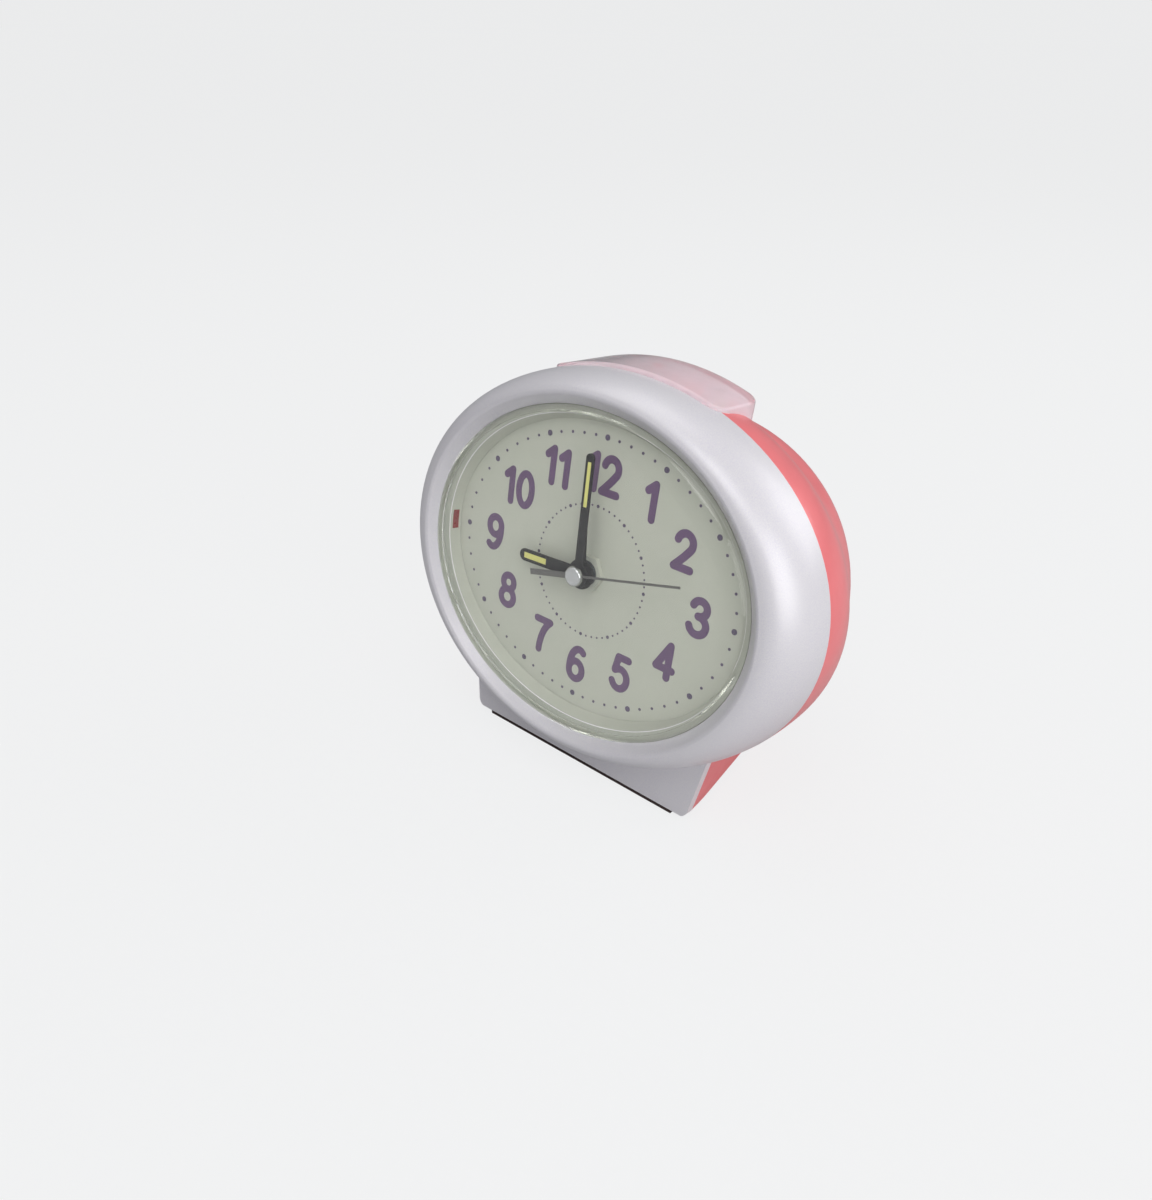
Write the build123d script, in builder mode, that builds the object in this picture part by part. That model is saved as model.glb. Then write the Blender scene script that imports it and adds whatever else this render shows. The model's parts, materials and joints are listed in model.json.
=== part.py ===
"""Oval talking alarm clock: a leaning two-shell case on a flat foot, with a dial, hands and a top bar."""

import math
import os

from build123d import *

# Driving dimensions, in millimetres and degrees.
# "Depth" runs from the dial's face towards the back, "half" sizes are half widths and half heights.

# Stance
lean = 10.0
dial_lift = 7.8
dial_setback = -22.8
pad_proud = 1.4
pad_sunk = 0.6

# Case form: lip of the bezel round the lens, swell to the girth, rear face and the line between the shells
lip_wide = 2.7
lip_tall = 2.6
crest_depth = -8.0
crest_round = 1.2
swell_wide = 10.4
swell_tall = 6.0
girth_depth = 8.5
rear_half_w = 35.0
rear_half_h = 30.0
rear_depth = 57.0
rear_sag = 6.0
rear_pinch = 2.5
sag_power = 1.3
seam_depth = 7.6
shell_wall = 2.2

# Lens and its seat
lens_seat_half_w = 52.1
lens_seat_half_h = 43.4
lens_rim_depth = -5.4
lens_rim_thick = 2.0
lens_clear = 0.2
lens_wall = 1.8
lens_shoulder_in = 7.6
lens_shoulder_rise = 3.6
lens_crown_rise = 1.3
seat_ledge = 2.5
seat_wall = 1.2

# Dial
dial_step_wide = 3.4
dial_step_tall = 4.2
dial_thick = 0.8
dial_lap = 2.8
dial_hole_clear = 0.2

# Dial frame and its screws
frame_thick = 1.6
frame_in = 1.7
frame_out = 4.2
frame_ear_out = 5.6
frame_ear_y = 8.0
frame_ear_r = 2.9
frame_boss_r = 2.2
small_screw_r = 0.8
small_head_r = 1.6
small_head_h = 1.1
small_screw_reach = 4.0
thread_clear = 0.05

# Case screws
case_screw_in_x = 3.7
case_screw_in_y = 9.2
case_screw_r = 1.4
case_head_r = 2.7
case_head_h = 1.8
case_screw_reach = 7.0
front_boss_r = 3.6
rear_boss_r = 4.2
screw_web = 3.0
head_clear = 0.4

# Foot
foot_depth = 5.0
foot_top_half_w = 40.4
foot_low_half_w = 38.8
foot_tall = 9.1
foot_below = 6.7
foot_corner_r = 3.0
foot_rear_depth = 50.0
foot_rear_half_w = 32.0
foot_inside_tall = 30.4

# Feet pads
front_pad_half = 34.0
front_pad_wide = 2.0
rear_pad_x = 17.0
rear_pad_r = 3.4
rear_pad_depth = 43.0

# Snooze bar and its pocket
bar_half = 26.6
bar_front = 6.0
bar_rear = 25.0
bar_front_proud = 0.9
bar_front_arch = 4.7
bar_rear_proud = 2.2
bar_rear_arch = 4.9
bar_sunk = 4.4
bar_low_arch = 3.2
bar_wall = 1.8
bar_corner_r = 4.0
bar_edge_r = 0.8
bar_clear = 0.3
bar_travel = 1.0
bar_floor_gap = 0.5
pocket_wall = 1.8
bar_guide_x = 17.0
bar_guide_depth = 18.5
bar_guide_r = 1.6
bar_finger_r = 1.5
bar_finger_clear = 0.3
bar_screw_reach = 5.0
bar_screw_r = 0.8
bar_head_r = 2.6
bar_head_h = 1.2
bar_head_gap = 0.3
dome_low_r = 3.4
dome_top_r = 2.8
dome_bore_r = 2.0
dome_gap = 0.05

# Hands and their pipes
minute_length = 32.1
minute_width = 2.5
minute_angle = -1.5
hour_length = 21.4
hour_width = 3.4
hour_angle = -92.8
second_length = 32.7
second_tail = 15.5
second_width = 0.6
second_tail_width = 1.6
second_angle = 76.0
alarm_length = 16.0
alarm_width = 1.2
alarm_angle = -6.0
hand_thick = 0.5
second_thick = 0.25
minute_hub_r = 3.2
hour_hub_r = 4.0
alarm_hub_r = 3.4
second_hub_r = 2.0
minute_inlay_length = 11.6
minute_inlay_width = 1.1
minute_inlay_tip = 2.2
hour_inlay_length = 7.8
hour_inlay_width = 1.6
hour_inlay_tip = 1.6
inlay_gap = 0.02
cap_r = 2.7
cap_h = 1.3
cap_round = 0.75
alarm_hand_depth = -2.3
hour_hand_depth = -3.2
minute_hand_depth = -4.4
second_hand_depth = -5.7
running_clear = 0.05
second_shaft_r = 0.7
minute_pipe_r = 1.3
hour_pipe_r = 1.9
alarm_pipe_r = 2.4
bushing_r = 3.4
bushing_front = -1.8
nut_across = 9.0
nut_thick = 1.4

# Movement and motion work
movement_size = 55.0
movement_corner_r = 4.0
movement_wall = 1.5
movement_split = 9.0
movement_rear = 17.0
gear_distance = 12.0
gear_thick = 1.0
pinion_teeth = 12
motion_teeth = 36
motion_pinion_teeth = 10
hour_teeth = 40
alarm_pinion_teeth = 12
alarm_teeth = 36
addendum_share = 0.55
dedendum_share = 1.0
tooth_backlash = 0.1
pressure_angle = 20.0
alarm_gear_depth = 2.7
hour_gear_depth = 4.5
minute_gear_depth = 6.6
second_gear_depth = 11.0
second_gear_r = 6.0
pivot_r = 0.8
pivot_bite = 0.8
arbor_r = 1.5
arbor_end_depth = 21.0
coil_half = 9.0
coil_r = 2.6
coil_y = -17.0
coil_depth = 12.0
coil_cheek_r = 3.4
coil_cheek_thick = 1.2

# Rear knobs
knob_r = 5.5
knob_h = 6.2
knob_grooves = 24
knob_groove_r = 0.35
knob_edge_r = 0.6
knob_float = 0.6
knob_stem_r = 2.4
knob_pocket_r = 7.5
knob_pocket_deep = 4.6
knob_pocket_wall = 1.6
knob_stem_start = 18.5

# Speech board
board_half_w = 31.0
board_tall = 10.8
board_gap = 2.1
board_thick = 1.6
board_depth = 12.0
board_screw_x = 28.0
board_post_r = 2.4
chip_r = 4.5
chip_h = 1.4
chip_x = -12.0
chip_drop = 0.5
switch_side = 6.0
switch_high = 4.0
plunger_r = 1.2
plunger_stick = 1.6
plunger_rooted = 0.6
plunger_gap = 0.1

# Speaker and grille
speaker_y = 20.5
speaker_r = 14.0
speaker_front_gap = 5.0
speaker_frame_deep = 5.0
speaker_flange = 1.4
speaker_skin = 0.8
speaker_cup_in = 1.6
speaker_clear = 0.1
speaker_seat = 1.4
magnet_r = 8.0
magnet_deep = 5.0
cone_r = 11.2
cone_neck_r = 4.0
cone_rim_back = 1.0
cone_thick = 0.5
collar_wall = 1.5
collar_deep = 3.0
grille_hole_r = 0.9
grille_pitch = 2.7
grille_rings = 3

# Battery bay, cells and contacts
cell_r = 7.1
cell_length = 49.2
nub_r = 2.7
nub_length = 1.3
cell_depth = 37.0
upper_cell_y = -17.6
lower_cell_y = -32.4
bay_half_w = 27.4
bay_clear = 0.4
bay_wall = 1.2
contact_thick = 0.4
contact_half = 5.0
contact_bump_r = 2.4
door_margin = 0.9
door_clear = 0.3
door_start = 35.0

# Slide switches and set button
slide_x = 27.0
slide_y = 1.0
slide_travel = 1.5
slide_knob_w = 3.0
slide_knob_l = 4.0
slide_knob_proud = 1.4
slide_stem_w = 1.6
slide_stem_deep = 2.4
slide_stem_room = 0.3
slide_body_w = 5.0
slide_body_l = 11.0
slide_body_deep = 5.0
slide_clear = 0.15
socket_wall = 1.2
socket_clear = 0.1
button_x = 27.0
button_y = 14.0
button_r = 2.4
button_flange = 0.6
button_flange_h = 0.9
button_proud = 1.2
button_travel = 0.6
button_clear = 0.1
button_switch_deep = 3.2
button_plunger_stick = 0.9

# Dial lamps
lamp_r = 1.5
lamp_long = 3.6
lamp_flange_r = 1.9
lamp_flange_h = 0.8
lamp_depth = -1.6
lamp_gap = 0.1
lamp_slit_long = 5.0
lamp_slit_wide = 1.4

# Main sizes: crest, girth, dial, foot, bar and board keep their steps from the lens and the movement
crest_half_w = lens_seat_half_w + lip_wide
crest_half_h = lens_seat_half_h + lip_tall
girth_half_w = crest_half_w + swell_wide
girth_half_h = crest_half_h + swell_tall
dial_height = girth_half_h + dial_lift
dial_show_half_w = lens_seat_half_w - dial_step_wide
dial_show_half_h = lens_seat_half_h - dial_step_tall
frame_ear_x = dial_show_half_w + frame_ear_out
case_screw_x = dial_show_half_w - case_screw_in_x
case_screw_y = dial_show_half_h - case_screw_in_y
foot_low_y = -girth_half_h - foot_below
foot_inside_top_y = foot_low_y + foot_inside_tall
bar_front_top = girth_half_h + bar_front_proud
bar_front_end = bar_front_top - bar_front_arch
bar_rear_top = girth_half_h + bar_rear_proud
bar_rear_end = bar_rear_top - bar_rear_arch
bar_low = girth_half_h - bar_sunk
bar_low_end = bar_low - bar_low_arch
board_low = movement_size / 2 + board_gap
board_high = board_low + board_tall
board_screw_y = board_low + board_tall / 2
chip_y = board_screw_y - chip_drop

# Planes and helper forms
lean_sin = math.sin(math.radians(lean))
lean_cos = math.cos(math.radians(lean))
dial_plane = Plane(
    origin=(0, dial_setback, dial_height),
    x_dir=(1, 0, 0),
    z_dir=(0, -lean_cos, lean_sin),
)
up_axis = Axis((0, 0, 0), tuple(dial_plane.y_dir))
front_axis = Axis((0, 0, 0), tuple(dial_plane.z_dir))
base_plane = Plane.XY.offset(pad_proud)
floor_plane = Plane.XY.offset(pad_proud + shell_wall)
front_shares = (0.0, 0.15, 0.3, 0.47, 0.65, 0.82, 1.0)
rear_angles = (90, 78, 64, 50, 36, 22, 10, 0)


def behind(depth):
    """Plane parallel to the dial, this far behind its face, with its z towards the front."""
    return dial_plane.offset(-depth)


def front_radii(depth, inset):
    """Half width and half height of the case ahead of its girth, inset by a wall."""
    reach = girth_depth - crest_depth - inset
    swell = math.sqrt(max(0.0, 1 - ((girth_depth - depth) / reach) ** 2))
    half_w = crest_half_w + (girth_half_w - inset - crest_half_w) * swell
    half_h = crest_half_h + (girth_half_h - inset - crest_half_h) * swell
    return half_w, half_h


def sag_share(depth):
    """Share of the back's sag and pinch at this depth: none at the girth and at the rear face."""
    share = max(0.0, (depth - girth_depth) / (rear_depth - girth_depth))
    return math.sin(math.pi * share**sag_power) ** 2


def rear_radii(depth, inset):
    """Half width and half height of the case behind its girth, inset by a wall."""
    reach = rear_depth - girth_depth - inset
    swell = math.sqrt(max(0.0, 1 - ((depth - girth_depth) / reach) ** 2))
    half_w = rear_half_w + (girth_half_w - inset - rear_half_w) * swell - rear_pinch * sag_share(depth)
    half_h = rear_half_h + (girth_half_h - inset - rear_half_h) * swell
    return half_w, half_h


def oval(depth, half_w, half_h, drop=0.0):
    """Ellipse on the plane at this depth, dropped below the dial's middle."""
    with BuildSketch(behind(depth)) as profile:
        with Locations((0, -drop)):
            Ellipse(half_w, half_h)
    return profile.sketch


def front_form(inset, mode=Mode.ADD):
    """Case form from the crest to the seam, inset by a wall."""
    reach = girth_depth - crest_depth - inset
    last = math.degrees(math.acos((girth_depth - seam_depth) / reach))
    sections = []
    for share in front_shares:
        depth = girth_depth - reach * math.cos(math.radians(last * share))
        sections.append(oval(depth, *front_radii(depth, inset)))
    loft(sections, mode=mode)


def rear_form(inset, mode=Mode.ADD):
    """Case form from the seam to the rear face, inset by a wall."""
    reach = rear_depth - girth_depth - inset
    sections = [oval(seam_depth, *front_radii(seam_depth, inset))]
    for angle in rear_angles:
        depth = girth_depth + reach * math.cos(math.radians(angle))
        sections.append(oval(depth, *rear_radii(depth, inset), rear_sag * sag_share(depth)))
    loft(sections, mode=mode)


def drum(center, radius, start, end, mode=Mode.ADD):
    """Round bar along the dial's normal, between two depths."""
    with BuildSketch(behind(start)) as profile:
        with Locations(center):
            Circle(radius)
    extrude(profile.sketch, amount=start - end, mode=mode)


def slab(center, width, height, start, end, mode=Mode.ADD):
    """Rectangular block along the dial's normal, between two depths."""
    with BuildSketch(behind(start)) as profile:
        with Locations(center):
            Rectangle(width, height)
    extrude(profile.sketch, amount=start - end, mode=mode)


def upright(x, depth, radius, low, high, mode=Mode.ADD):
    """Round bar along the dial's upward direction, between two heights on the dial."""
    foot = dial_plane.from_local_coords(Vector(x, low, -depth))
    with BuildSketch(Plane(origin=foot, x_dir=(1, 0, 0), z_dir=dial_plane.y_dir)) as profile:
        Circle(radius)
    extrude(profile.sketch, amount=high - low, mode=mode)


def sideways(side, x, y, depth, radius, length, mode=Mode.ADD):
    """Round bar along the width, from x outwards on one side."""
    start = dial_plane.from_local_coords(Vector(side * x, y, -depth))
    with BuildSketch(Plane(origin=start, x_dir=dial_plane.y_dir, z_dir=(side, 0, 0))) as profile:
        Circle(radius)
    extrude(profile.sketch, amount=length, mode=mode)


def arched(depth, half, top, top_end, low, low_end):
    """Arched strip: a top arc and a bottom arc with straight ends."""
    with BuildSketch(behind(depth)) as profile:
        with BuildLine():
            ThreePointArc((-half, top_end), (0, top), (half, top_end))
            Line((half, top_end), (half, low_end))
            ThreePointArc((half, low_end), (0, low), (-half, low_end))
            Line((-half, low_end), (-half, top_end))
        make_face()
    return profile.sketch


def foot_section(depth, pull, inset):
    """Section of the foot: straight sides that lean in towards the table."""
    slope = (foot_top_half_w - foot_low_half_w) / foot_tall
    low_half = foot_low_half_w - pull - inset
    top_half = low_half + slope * foot_inside_tall
    with BuildSketch(behind(depth)) as profile:
        with BuildLine():
            Polyline(
                (-top_half, foot_inside_top_y),
                (-low_half, foot_low_y),
                (low_half, foot_low_y),
                (top_half, foot_inside_top_y),
                close=True,
            )
        make_face()
        fillet(profile.vertices().group_by(Axis.Y)[0], foot_corner_r)
    return profile.sketch


def gear_outline(teeth, module, turn):
    """Closed outline of a spur gear with involute flanks and running backlash."""
    pitch_r = module * teeth / 2
    base_r = pitch_r * math.cos(math.radians(pressure_angle))
    tip_r = pitch_r + addendum_share * module
    root_r = pitch_r - dedendum_share * module
    involute = math.tan(math.radians(pressure_angle)) - math.radians(pressure_angle)
    half_tooth = math.pi / (2 * teeth) - tooth_backlash / (2 * pitch_r)
    flank = []
    for share in (0.0, 0.35, 0.7, 1.0):
        r = max(root_r, base_r) + (tip_r - max(root_r, base_r)) * share
        roll = math.sqrt(max(0.0, (r / base_r) ** 2 - 1))
        flank.append((r, half_tooth + involute - (roll - math.atan(roll))))
    if root_r < base_r:
        flank.insert(0, (root_r, flank[0][1]))
    points = []
    for tooth in range(teeth):
        middle = 2 * math.pi * tooth / teeth + math.radians(turn)
        points += [(r, middle - a) for r, a in flank]
        points += [(r, middle + a) for r, a in reversed(flank)]
    return [(r * math.cos(a), r * math.sin(a)) for r, a in points]


def gear(center, teeth, module, turn, start, end):
    """Spur gear along the dial's normal, between two depths."""
    x, y = center
    with BuildSketch(behind(start)) as profile:
        with BuildLine():
            Polyline(*[(x + u, y + v) for u, v in gear_outline(teeth, module, turn)], close=True)
        make_face()
    extrude(profile.sketch, amount=start - end)


def hand_plane(depth, angle):
    """Plane of a hand at this depth, its y pointing along the hand, clockwise from twelve."""
    turn = math.radians(angle)
    across = dial_plane.x_dir * math.cos(turn) - dial_plane.y_dir * math.sin(turn)
    return Plane(origin=behind(depth).origin, x_dir=across, z_dir=dial_plane.z_dir)


def hand(depth, angle, length, width, hub, bore):
    """Flat hand with a round hub and a round tip."""
    with BuildSketch(hand_plane(depth, angle)) as profile:
        Circle(hub)
        with Locations((0, (length - width / 2) / 2)):
            Rectangle(width, length - width / 2)
        with Locations((0, length - width / 2)):
            Circle(width / 2)
        Circle(bore, mode=Mode.SUBTRACT)
    extrude(profile.sketch, amount=hand_thick)


def inlay(depth, angle, middle, width, length, mode=Mode.ADD):
    """Strip in a hand, as thick as the hand."""
    with BuildSketch(hand_plane(depth, angle)) as profile:
        with Locations((0, middle)):
            Rectangle(width, length)
    extrude(profile.sketch, amount=hand_thick, mode=mode)


def lens_form(inset, mode=Mode.ADD):
    """Lens form inset by a wall: rim, shoulder and crown."""
    half_w = lens_seat_half_w - lens_clear - inset
    half_h = lens_seat_half_h - lens_clear - inset
    extrude(oval(lens_ledge_depth, half_w, half_h), amount=lens_rim_thick, mode=mode)
    rise = lens_shoulder_rise - inset
    shoulder = []
    for angle in (0, 18, 36, 54, 72, 90):
        pull = lens_shoulder_in * (1 - math.cos(math.radians(angle)))
        lift = rise * math.sin(math.radians(angle))
        shoulder.append(oval(lens_rim_depth - lift, half_w - pull, half_h - pull))
    loft(shoulder, mode=mode)
    top_w = half_w - lens_shoulder_in
    top_h = half_h - lens_shoulder_in
    crown = []
    for share in (1.0, 0.8, 0.6, 0.4, 0.2):
        lift = rise + lens_crown_rise * (1 - share**2)
        crown.append(oval(lens_rim_depth - lift, top_w * share, top_h * share))
    loft(crown, mode=mode)


def movement_block(start, end, size, corner, mode=Mode.ADD):
    """Square block with rounded corners, centred on the hands' axis."""
    with BuildSketch(behind(start)) as profile:
        RectangleRounded(size, size, corner)
    extrude(profile.sketch, amount=start - end, mode=mode)


def contact_plate(side, middle, tall):
    """Battery contact against an end wall of the bay."""
    start = dial_plane.from_local_coords(Vector(side * (bay_half_w - contact_thick), middle, -cell_depth))
    with BuildSketch(Plane(origin=start, x_dir=dial_plane.y_dir, z_dir=(side, 0, 0))) as profile:
        Rectangle(tall, 2 * contact_half)
    extrude(profile.sketch, amount=contact_thick)


def small_screw(place, head_seat, tip):
    """Small screw along the dial's normal, its head behind the seat."""
    drum(place, small_head_r, head_seat + small_head_h, head_seat)
    drum(place, small_screw_r, head_seat, tip)


# Sizes that follow from the driving dimensions
lens_ledge_depth = lens_rim_depth + lens_rim_thick
seat_in_half_w = lens_seat_half_w - seat_ledge
seat_in_half_h = lens_seat_half_h - seat_ledge
seat_out_half_w = lens_seat_half_w + seat_wall
seat_out_half_h = lens_seat_half_h + seat_wall
frame_start = dial_thick
frame_end = dial_thick + frame_thick
frame_middle_w = dial_show_half_w + (frame_out - frame_in) / 2
frame_middle_h = dial_show_half_h + (frame_out - frame_in) / 2
frame_middle_y = frame_middle_h * math.sqrt(1 - (board_screw_x / frame_middle_w) ** 2)
movement_front = dial_thick
pocket_low = bar_low - bar_travel - bar_floor_gap
pocket_low_end = bar_low_end - bar_travel - bar_floor_gap
pocket_top = bar_rear_top + bar_wall
pocket_top_end = bar_rear_end + bar_wall
tray_low = pocket_low - pocket_wall
tray_low_end = pocket_low_end - pocket_wall
minute_module = 2 * gear_distance / (pinion_teeth + motion_teeth)
hour_module = 2 * gear_distance / (motion_pinion_teeth + hour_teeth)
alarm_module = 2 * gear_distance / (alarm_pinion_teeth + alarm_teeth)
time_axis = (gear_distance, 0)
alarm_axis = (-gear_distance, 0)
knob_axes = (time_axis, alarm_axis)
rear_inside = rear_depth - shell_wall
knob_floor = rear_depth - knob_pocket_deep
knob_start = knob_floor + knob_float
speaker_axis = (0, speaker_y)
speaker_front = rear_depth - speaker_front_gap
speaker_back = speaker_front - speaker_frame_deep
speaker_cup_r = speaker_r - speaker_cup_in
cone_rim = speaker_front - cone_rim_back - cone_thick
cone_back = speaker_back + speaker_skin + speaker_clear
movement_inside = movement_front + movement_wall
movement_back = movement_rear - movement_wall
pivot_end = movement_inside - pivot_bite
second_pivot_end = movement_back + pivot_bite
alarm_gear_rear = alarm_gear_depth + gear_thick
hour_gear_rear = hour_gear_depth + gear_thick
minute_gear_rear = minute_gear_depth + gear_thick
alarm_pipe_front = alarm_hand_depth - hand_thick
hour_pipe_front = hour_hand_depth - hand_thick
minute_pipe_front = minute_hand_depth - hand_thick
second_shaft_front = second_hand_depth - second_thick
minute_arbor_end = minute_gear_depth + 2 * gear_thick
hour_inlay_middle = hour_length - hour_inlay_tip - hour_inlay_length / 2
minute_inlay_middle = minute_length - minute_inlay_tip - minute_inlay_length / 2
cell_reach = (cell_length + nub_length) / 2
contact_reach = bay_half_w - contact_thick - cell_reach
slide_body_front = rear_inside - slide_body_deep
button_flange_front = rear_inside - button_clear - button_flange_h
set_switch_top = button_flange_front - plunger_gap - button_plunger_stick
set_switch_front = set_switch_top - button_switch_deep
set_plunger_room = plunger_rooted + button_travel + plunger_gap
bar_plunger_room = plunger_rooted + bar_travel + plunger_gap
plunger_bore_r = plunger_r + running_clear
button_place = (button_x, button_y)
bay_front = cell_depth - cell_r - bay_clear
bay_high = upper_cell_y + cell_r + bay_clear
bay_low = lower_cell_y - cell_r - bay_clear
bay_middle = (bay_high + bay_low) / 2
bay_tall = bay_high - bay_low
door_half_w = bay_half_w + door_margin
door_high = bay_high + door_margin
door_low = bay_low - door_margin
door_middle = (door_high + door_low) / 2
door_tall = door_high - door_low
board_rear = board_depth + board_thick
plunger_depth = board_rear + switch_side / 2
corners = ((1, 1), (-1, 1), (1, -1), (-1, -1))
case_screw_places = [(sx * case_screw_x, sy * case_screw_y) for sx, sy in corners]
frame_screw_places = [(sx * frame_ear_x, sy * frame_ear_y) for sx, sy in corners]
board_screw_places = [(-board_screw_x, board_screw_y), (board_screw_x, board_screw_y)]
sides = (-1, 1)
lamp_start = seat_out_half_w + lamp_gap
small_thread_r = small_screw_r + thread_clear
frame_thread_end = frame_start - small_screw_reach
board_thread_end = board_depth - small_screw_reach
front_pad_depth = (foot_depth + seam_depth) / 2
foot_pull = foot_low_half_w - foot_rear_half_w
head_depth = seam_depth + screw_web
bar_finger_tip = board_high + plunger_stick + plunger_gap


def arc_drop(middle, end, half, x):
    """Height at x of the arc that runs through (0, middle) and (half, end)."""
    sag = middle - end
    radius = (half**2 + sag**2) / (2 * sag)
    return middle - radius + math.sqrt(radius**2 - x**2)


def bar_ceiling(depth):
    """Height of the bar's inner ceiling at this depth, at its middle and at its ends."""
    share = (depth - bar_front) / (bar_rear - bar_front)
    middle = bar_front_top + (bar_rear_top - bar_front_top) * share - bar_wall
    end = bar_front_end + (bar_rear_end - bar_front_end) * share - bar_wall
    return middle, end


def base_height(depth):
    """Height on the dial where the base plane passes this depth."""
    return (pad_proud - dial_height + depth * lean_sin) / lean_cos


def table_point(x, depth):
    """Point of the base plane at this depth, in the part's own frame."""
    return (x, dial_setback + depth * lean_cos + base_height(depth) * lean_sin)


# Heights in and under the snooze bar
tray_half = bar_half + bar_clear + pocket_wall
pocket_half = bar_half + bar_clear
cavity_half = bar_half - bar_wall
bar_head_top = arc_drop(tray_low, tray_low_end, tray_half, bar_guide_x + bar_head_r) - bar_head_gap
bar_screw_top = bar_head_top + bar_screw_reach
guide_ceiling = arc_drop(*bar_ceiling(bar_guide_depth - dome_top_r), cavity_half, bar_guide_x + dome_top_r)
guide_top = guide_ceiling + bar_wall / 2
finger_top = bar_ceiling(plunger_depth)[0] + bar_wall / 2
dome_low = arc_drop(pocket_low, pocket_low_end, pocket_half, bar_guide_x - dome_low_r) + dome_gap
dome_top = guide_ceiling - dome_gap
pieces = {}


# Pocket of the snooze bar and the tray round it, shared by both shells
with BuildPart() as bar_pocket:
    loft(
        [
            arched(depth, pocket_half, pocket_top, pocket_top_end, pocket_low, pocket_low_end)
            for depth in (bar_front - bar_clear, bar_rear + bar_clear)
        ]
    )
    fillet(bar_pocket.edges().filter_by(up_axis), bar_corner_r + bar_clear)

with BuildPart() as bar_tray:
    loft(
        [
            arched(depth, tray_half, pocket_top, pocket_top_end, tray_low, tray_low_end)
            for depth in (bar_front - bar_clear - pocket_wall, bar_rear + bar_clear + pocket_wall)
        ]
    )

# Bosses, lens seat and bar tray of the front case, rooted in the middle of its wall
with BuildPart() as front_inside:
    for place in case_screw_places:
        drum(place, front_boss_r, seam_depth, crest_depth)
    for place in frame_screw_places:
        drum(place, frame_boss_r, frame_start, crest_depth)
    extrude(oval(0, seat_out_half_w, seat_out_half_h), amount=-crest_depth)
    add(bar_tray.part)
    front_form(shell_wall / 2, Mode.INTERSECT)

# Front case: bezel, lens seat, dial seat and the front of the foot
with BuildPart() as front_case:
    front_form(0)
    front_form(shell_wall, Mode.SUBTRACT)
    add(front_inside.part)
    extrude(foot_section(foot_depth, 0, 0), amount=foot_depth - seam_depth)
    split(bisect_by=base_plane, keep=Keep.TOP)
    loft(
        [
            oval(crest_depth, crest_half_w, crest_half_h),
            oval(lens_rim_depth, lens_seat_half_w, lens_seat_half_h),
        ],
        mode=Mode.SUBTRACT,
    )
    fillet(front_case.edges().sort_by(front_axis)[-1], crest_round)
    lens_seat = oval(lens_rim_depth, lens_seat_half_w, lens_seat_half_h)
    extrude(lens_seat, amount=-lens_rim_thick, mode=Mode.SUBTRACT)
    loft(
        [
            oval(lens_ledge_depth, seat_in_half_w, seat_in_half_h),
            oval(0, dial_show_half_w, dial_show_half_h),
        ],
        mode=Mode.SUBTRACT,
    )
    add(bar_pocket.part, mode=Mode.SUBTRACT)
    for place in case_screw_places:
        drum(place, case_screw_r + thread_clear, seam_depth, seam_depth - case_screw_reach, Mode.SUBTRACT)
    for place in frame_screw_places:
        drum(place, small_thread_r, frame_start, frame_thread_end, Mode.SUBTRACT)
    for side in sides:
        start = dial_plane.from_local_coords(Vector(side * lamp_start, 0, -lamp_depth))
        with BuildSketch(Plane(origin=start, x_dir=dial_plane.y_dir, z_dir=(-side, 0, 0))):
            SlotOverall(lamp_slit_long, lamp_slit_wide)
        extrude(amount=seat_wall + seat_ledge + lens_rim_thick, mode=Mode.SUBTRACT)
    with BuildSketch(base_plane):
        with Locations(table_point(0, front_pad_depth)):
            Rectangle(2 * front_pad_half, front_pad_wide)
    extrude(amount=pad_sunk, mode=Mode.SUBTRACT)

# Outer block and hollow of the rear shell
with BuildPart() as rear_block:
    rear_form(0)
    loft([foot_section(seam_depth, 0, 0), foot_section(foot_rear_depth, foot_pull, 0)])
    split(bisect_by=base_plane, keep=Keep.TOP)

with BuildPart() as rear_hollow:
    rear_form(shell_wall)
    loft(
        [
            foot_section(seam_depth, 0, shell_wall),
            foot_section(foot_rear_depth - shell_wall, foot_pull, shell_wall),
        ]
    )
    split(bisect_by=floor_plane, keep=Keep.TOP)

# Opening of the battery bay in the rear wall, a little deeper than the wall itself
with BuildPart() as door_opening:
    slab((0, door_middle), 2 * door_half_w, door_tall, rear_depth + shell_wall, door_start)
    rear_form(shell_wall + door_clear, Mode.SUBTRACT)

# Screw columns, bar tray, battery bay, speaker seat and control sockets, rooted in the rear wall
with BuildPart() as rear_inside_block:
    for place in case_screw_places:
        drum(place, rear_boss_r, rear_depth, seam_depth)
    add(bar_tray.part)
    slab(
        (0, bay_middle),
        2 * (bay_half_w + bay_wall),
        bay_tall + 2 * bay_wall,
        rear_depth,
        bay_front - bay_wall,
    )
    for axis in knob_axes:
        drum(axis, knob_pocket_r + knob_pocket_wall, rear_depth, knob_floor - knob_pocket_wall)
    drum(speaker_axis, speaker_r + speaker_clear + collar_wall, rear_depth, speaker_front - collar_deep)
    for side in sides:
        slab(
            (side * slide_x, slide_y),
            slide_body_w + 2 * (socket_clear + socket_wall),
            slide_body_l + 2 * (socket_clear + socket_wall),
            rear_depth,
            slide_body_front,
        )
    button_socket = switch_side + 2 * (socket_clear + socket_wall)
    slab(button_place, button_socket, button_socket, rear_depth, set_switch_front)
    rear_form(shell_wall / 2, Mode.INTERSECT)

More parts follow.
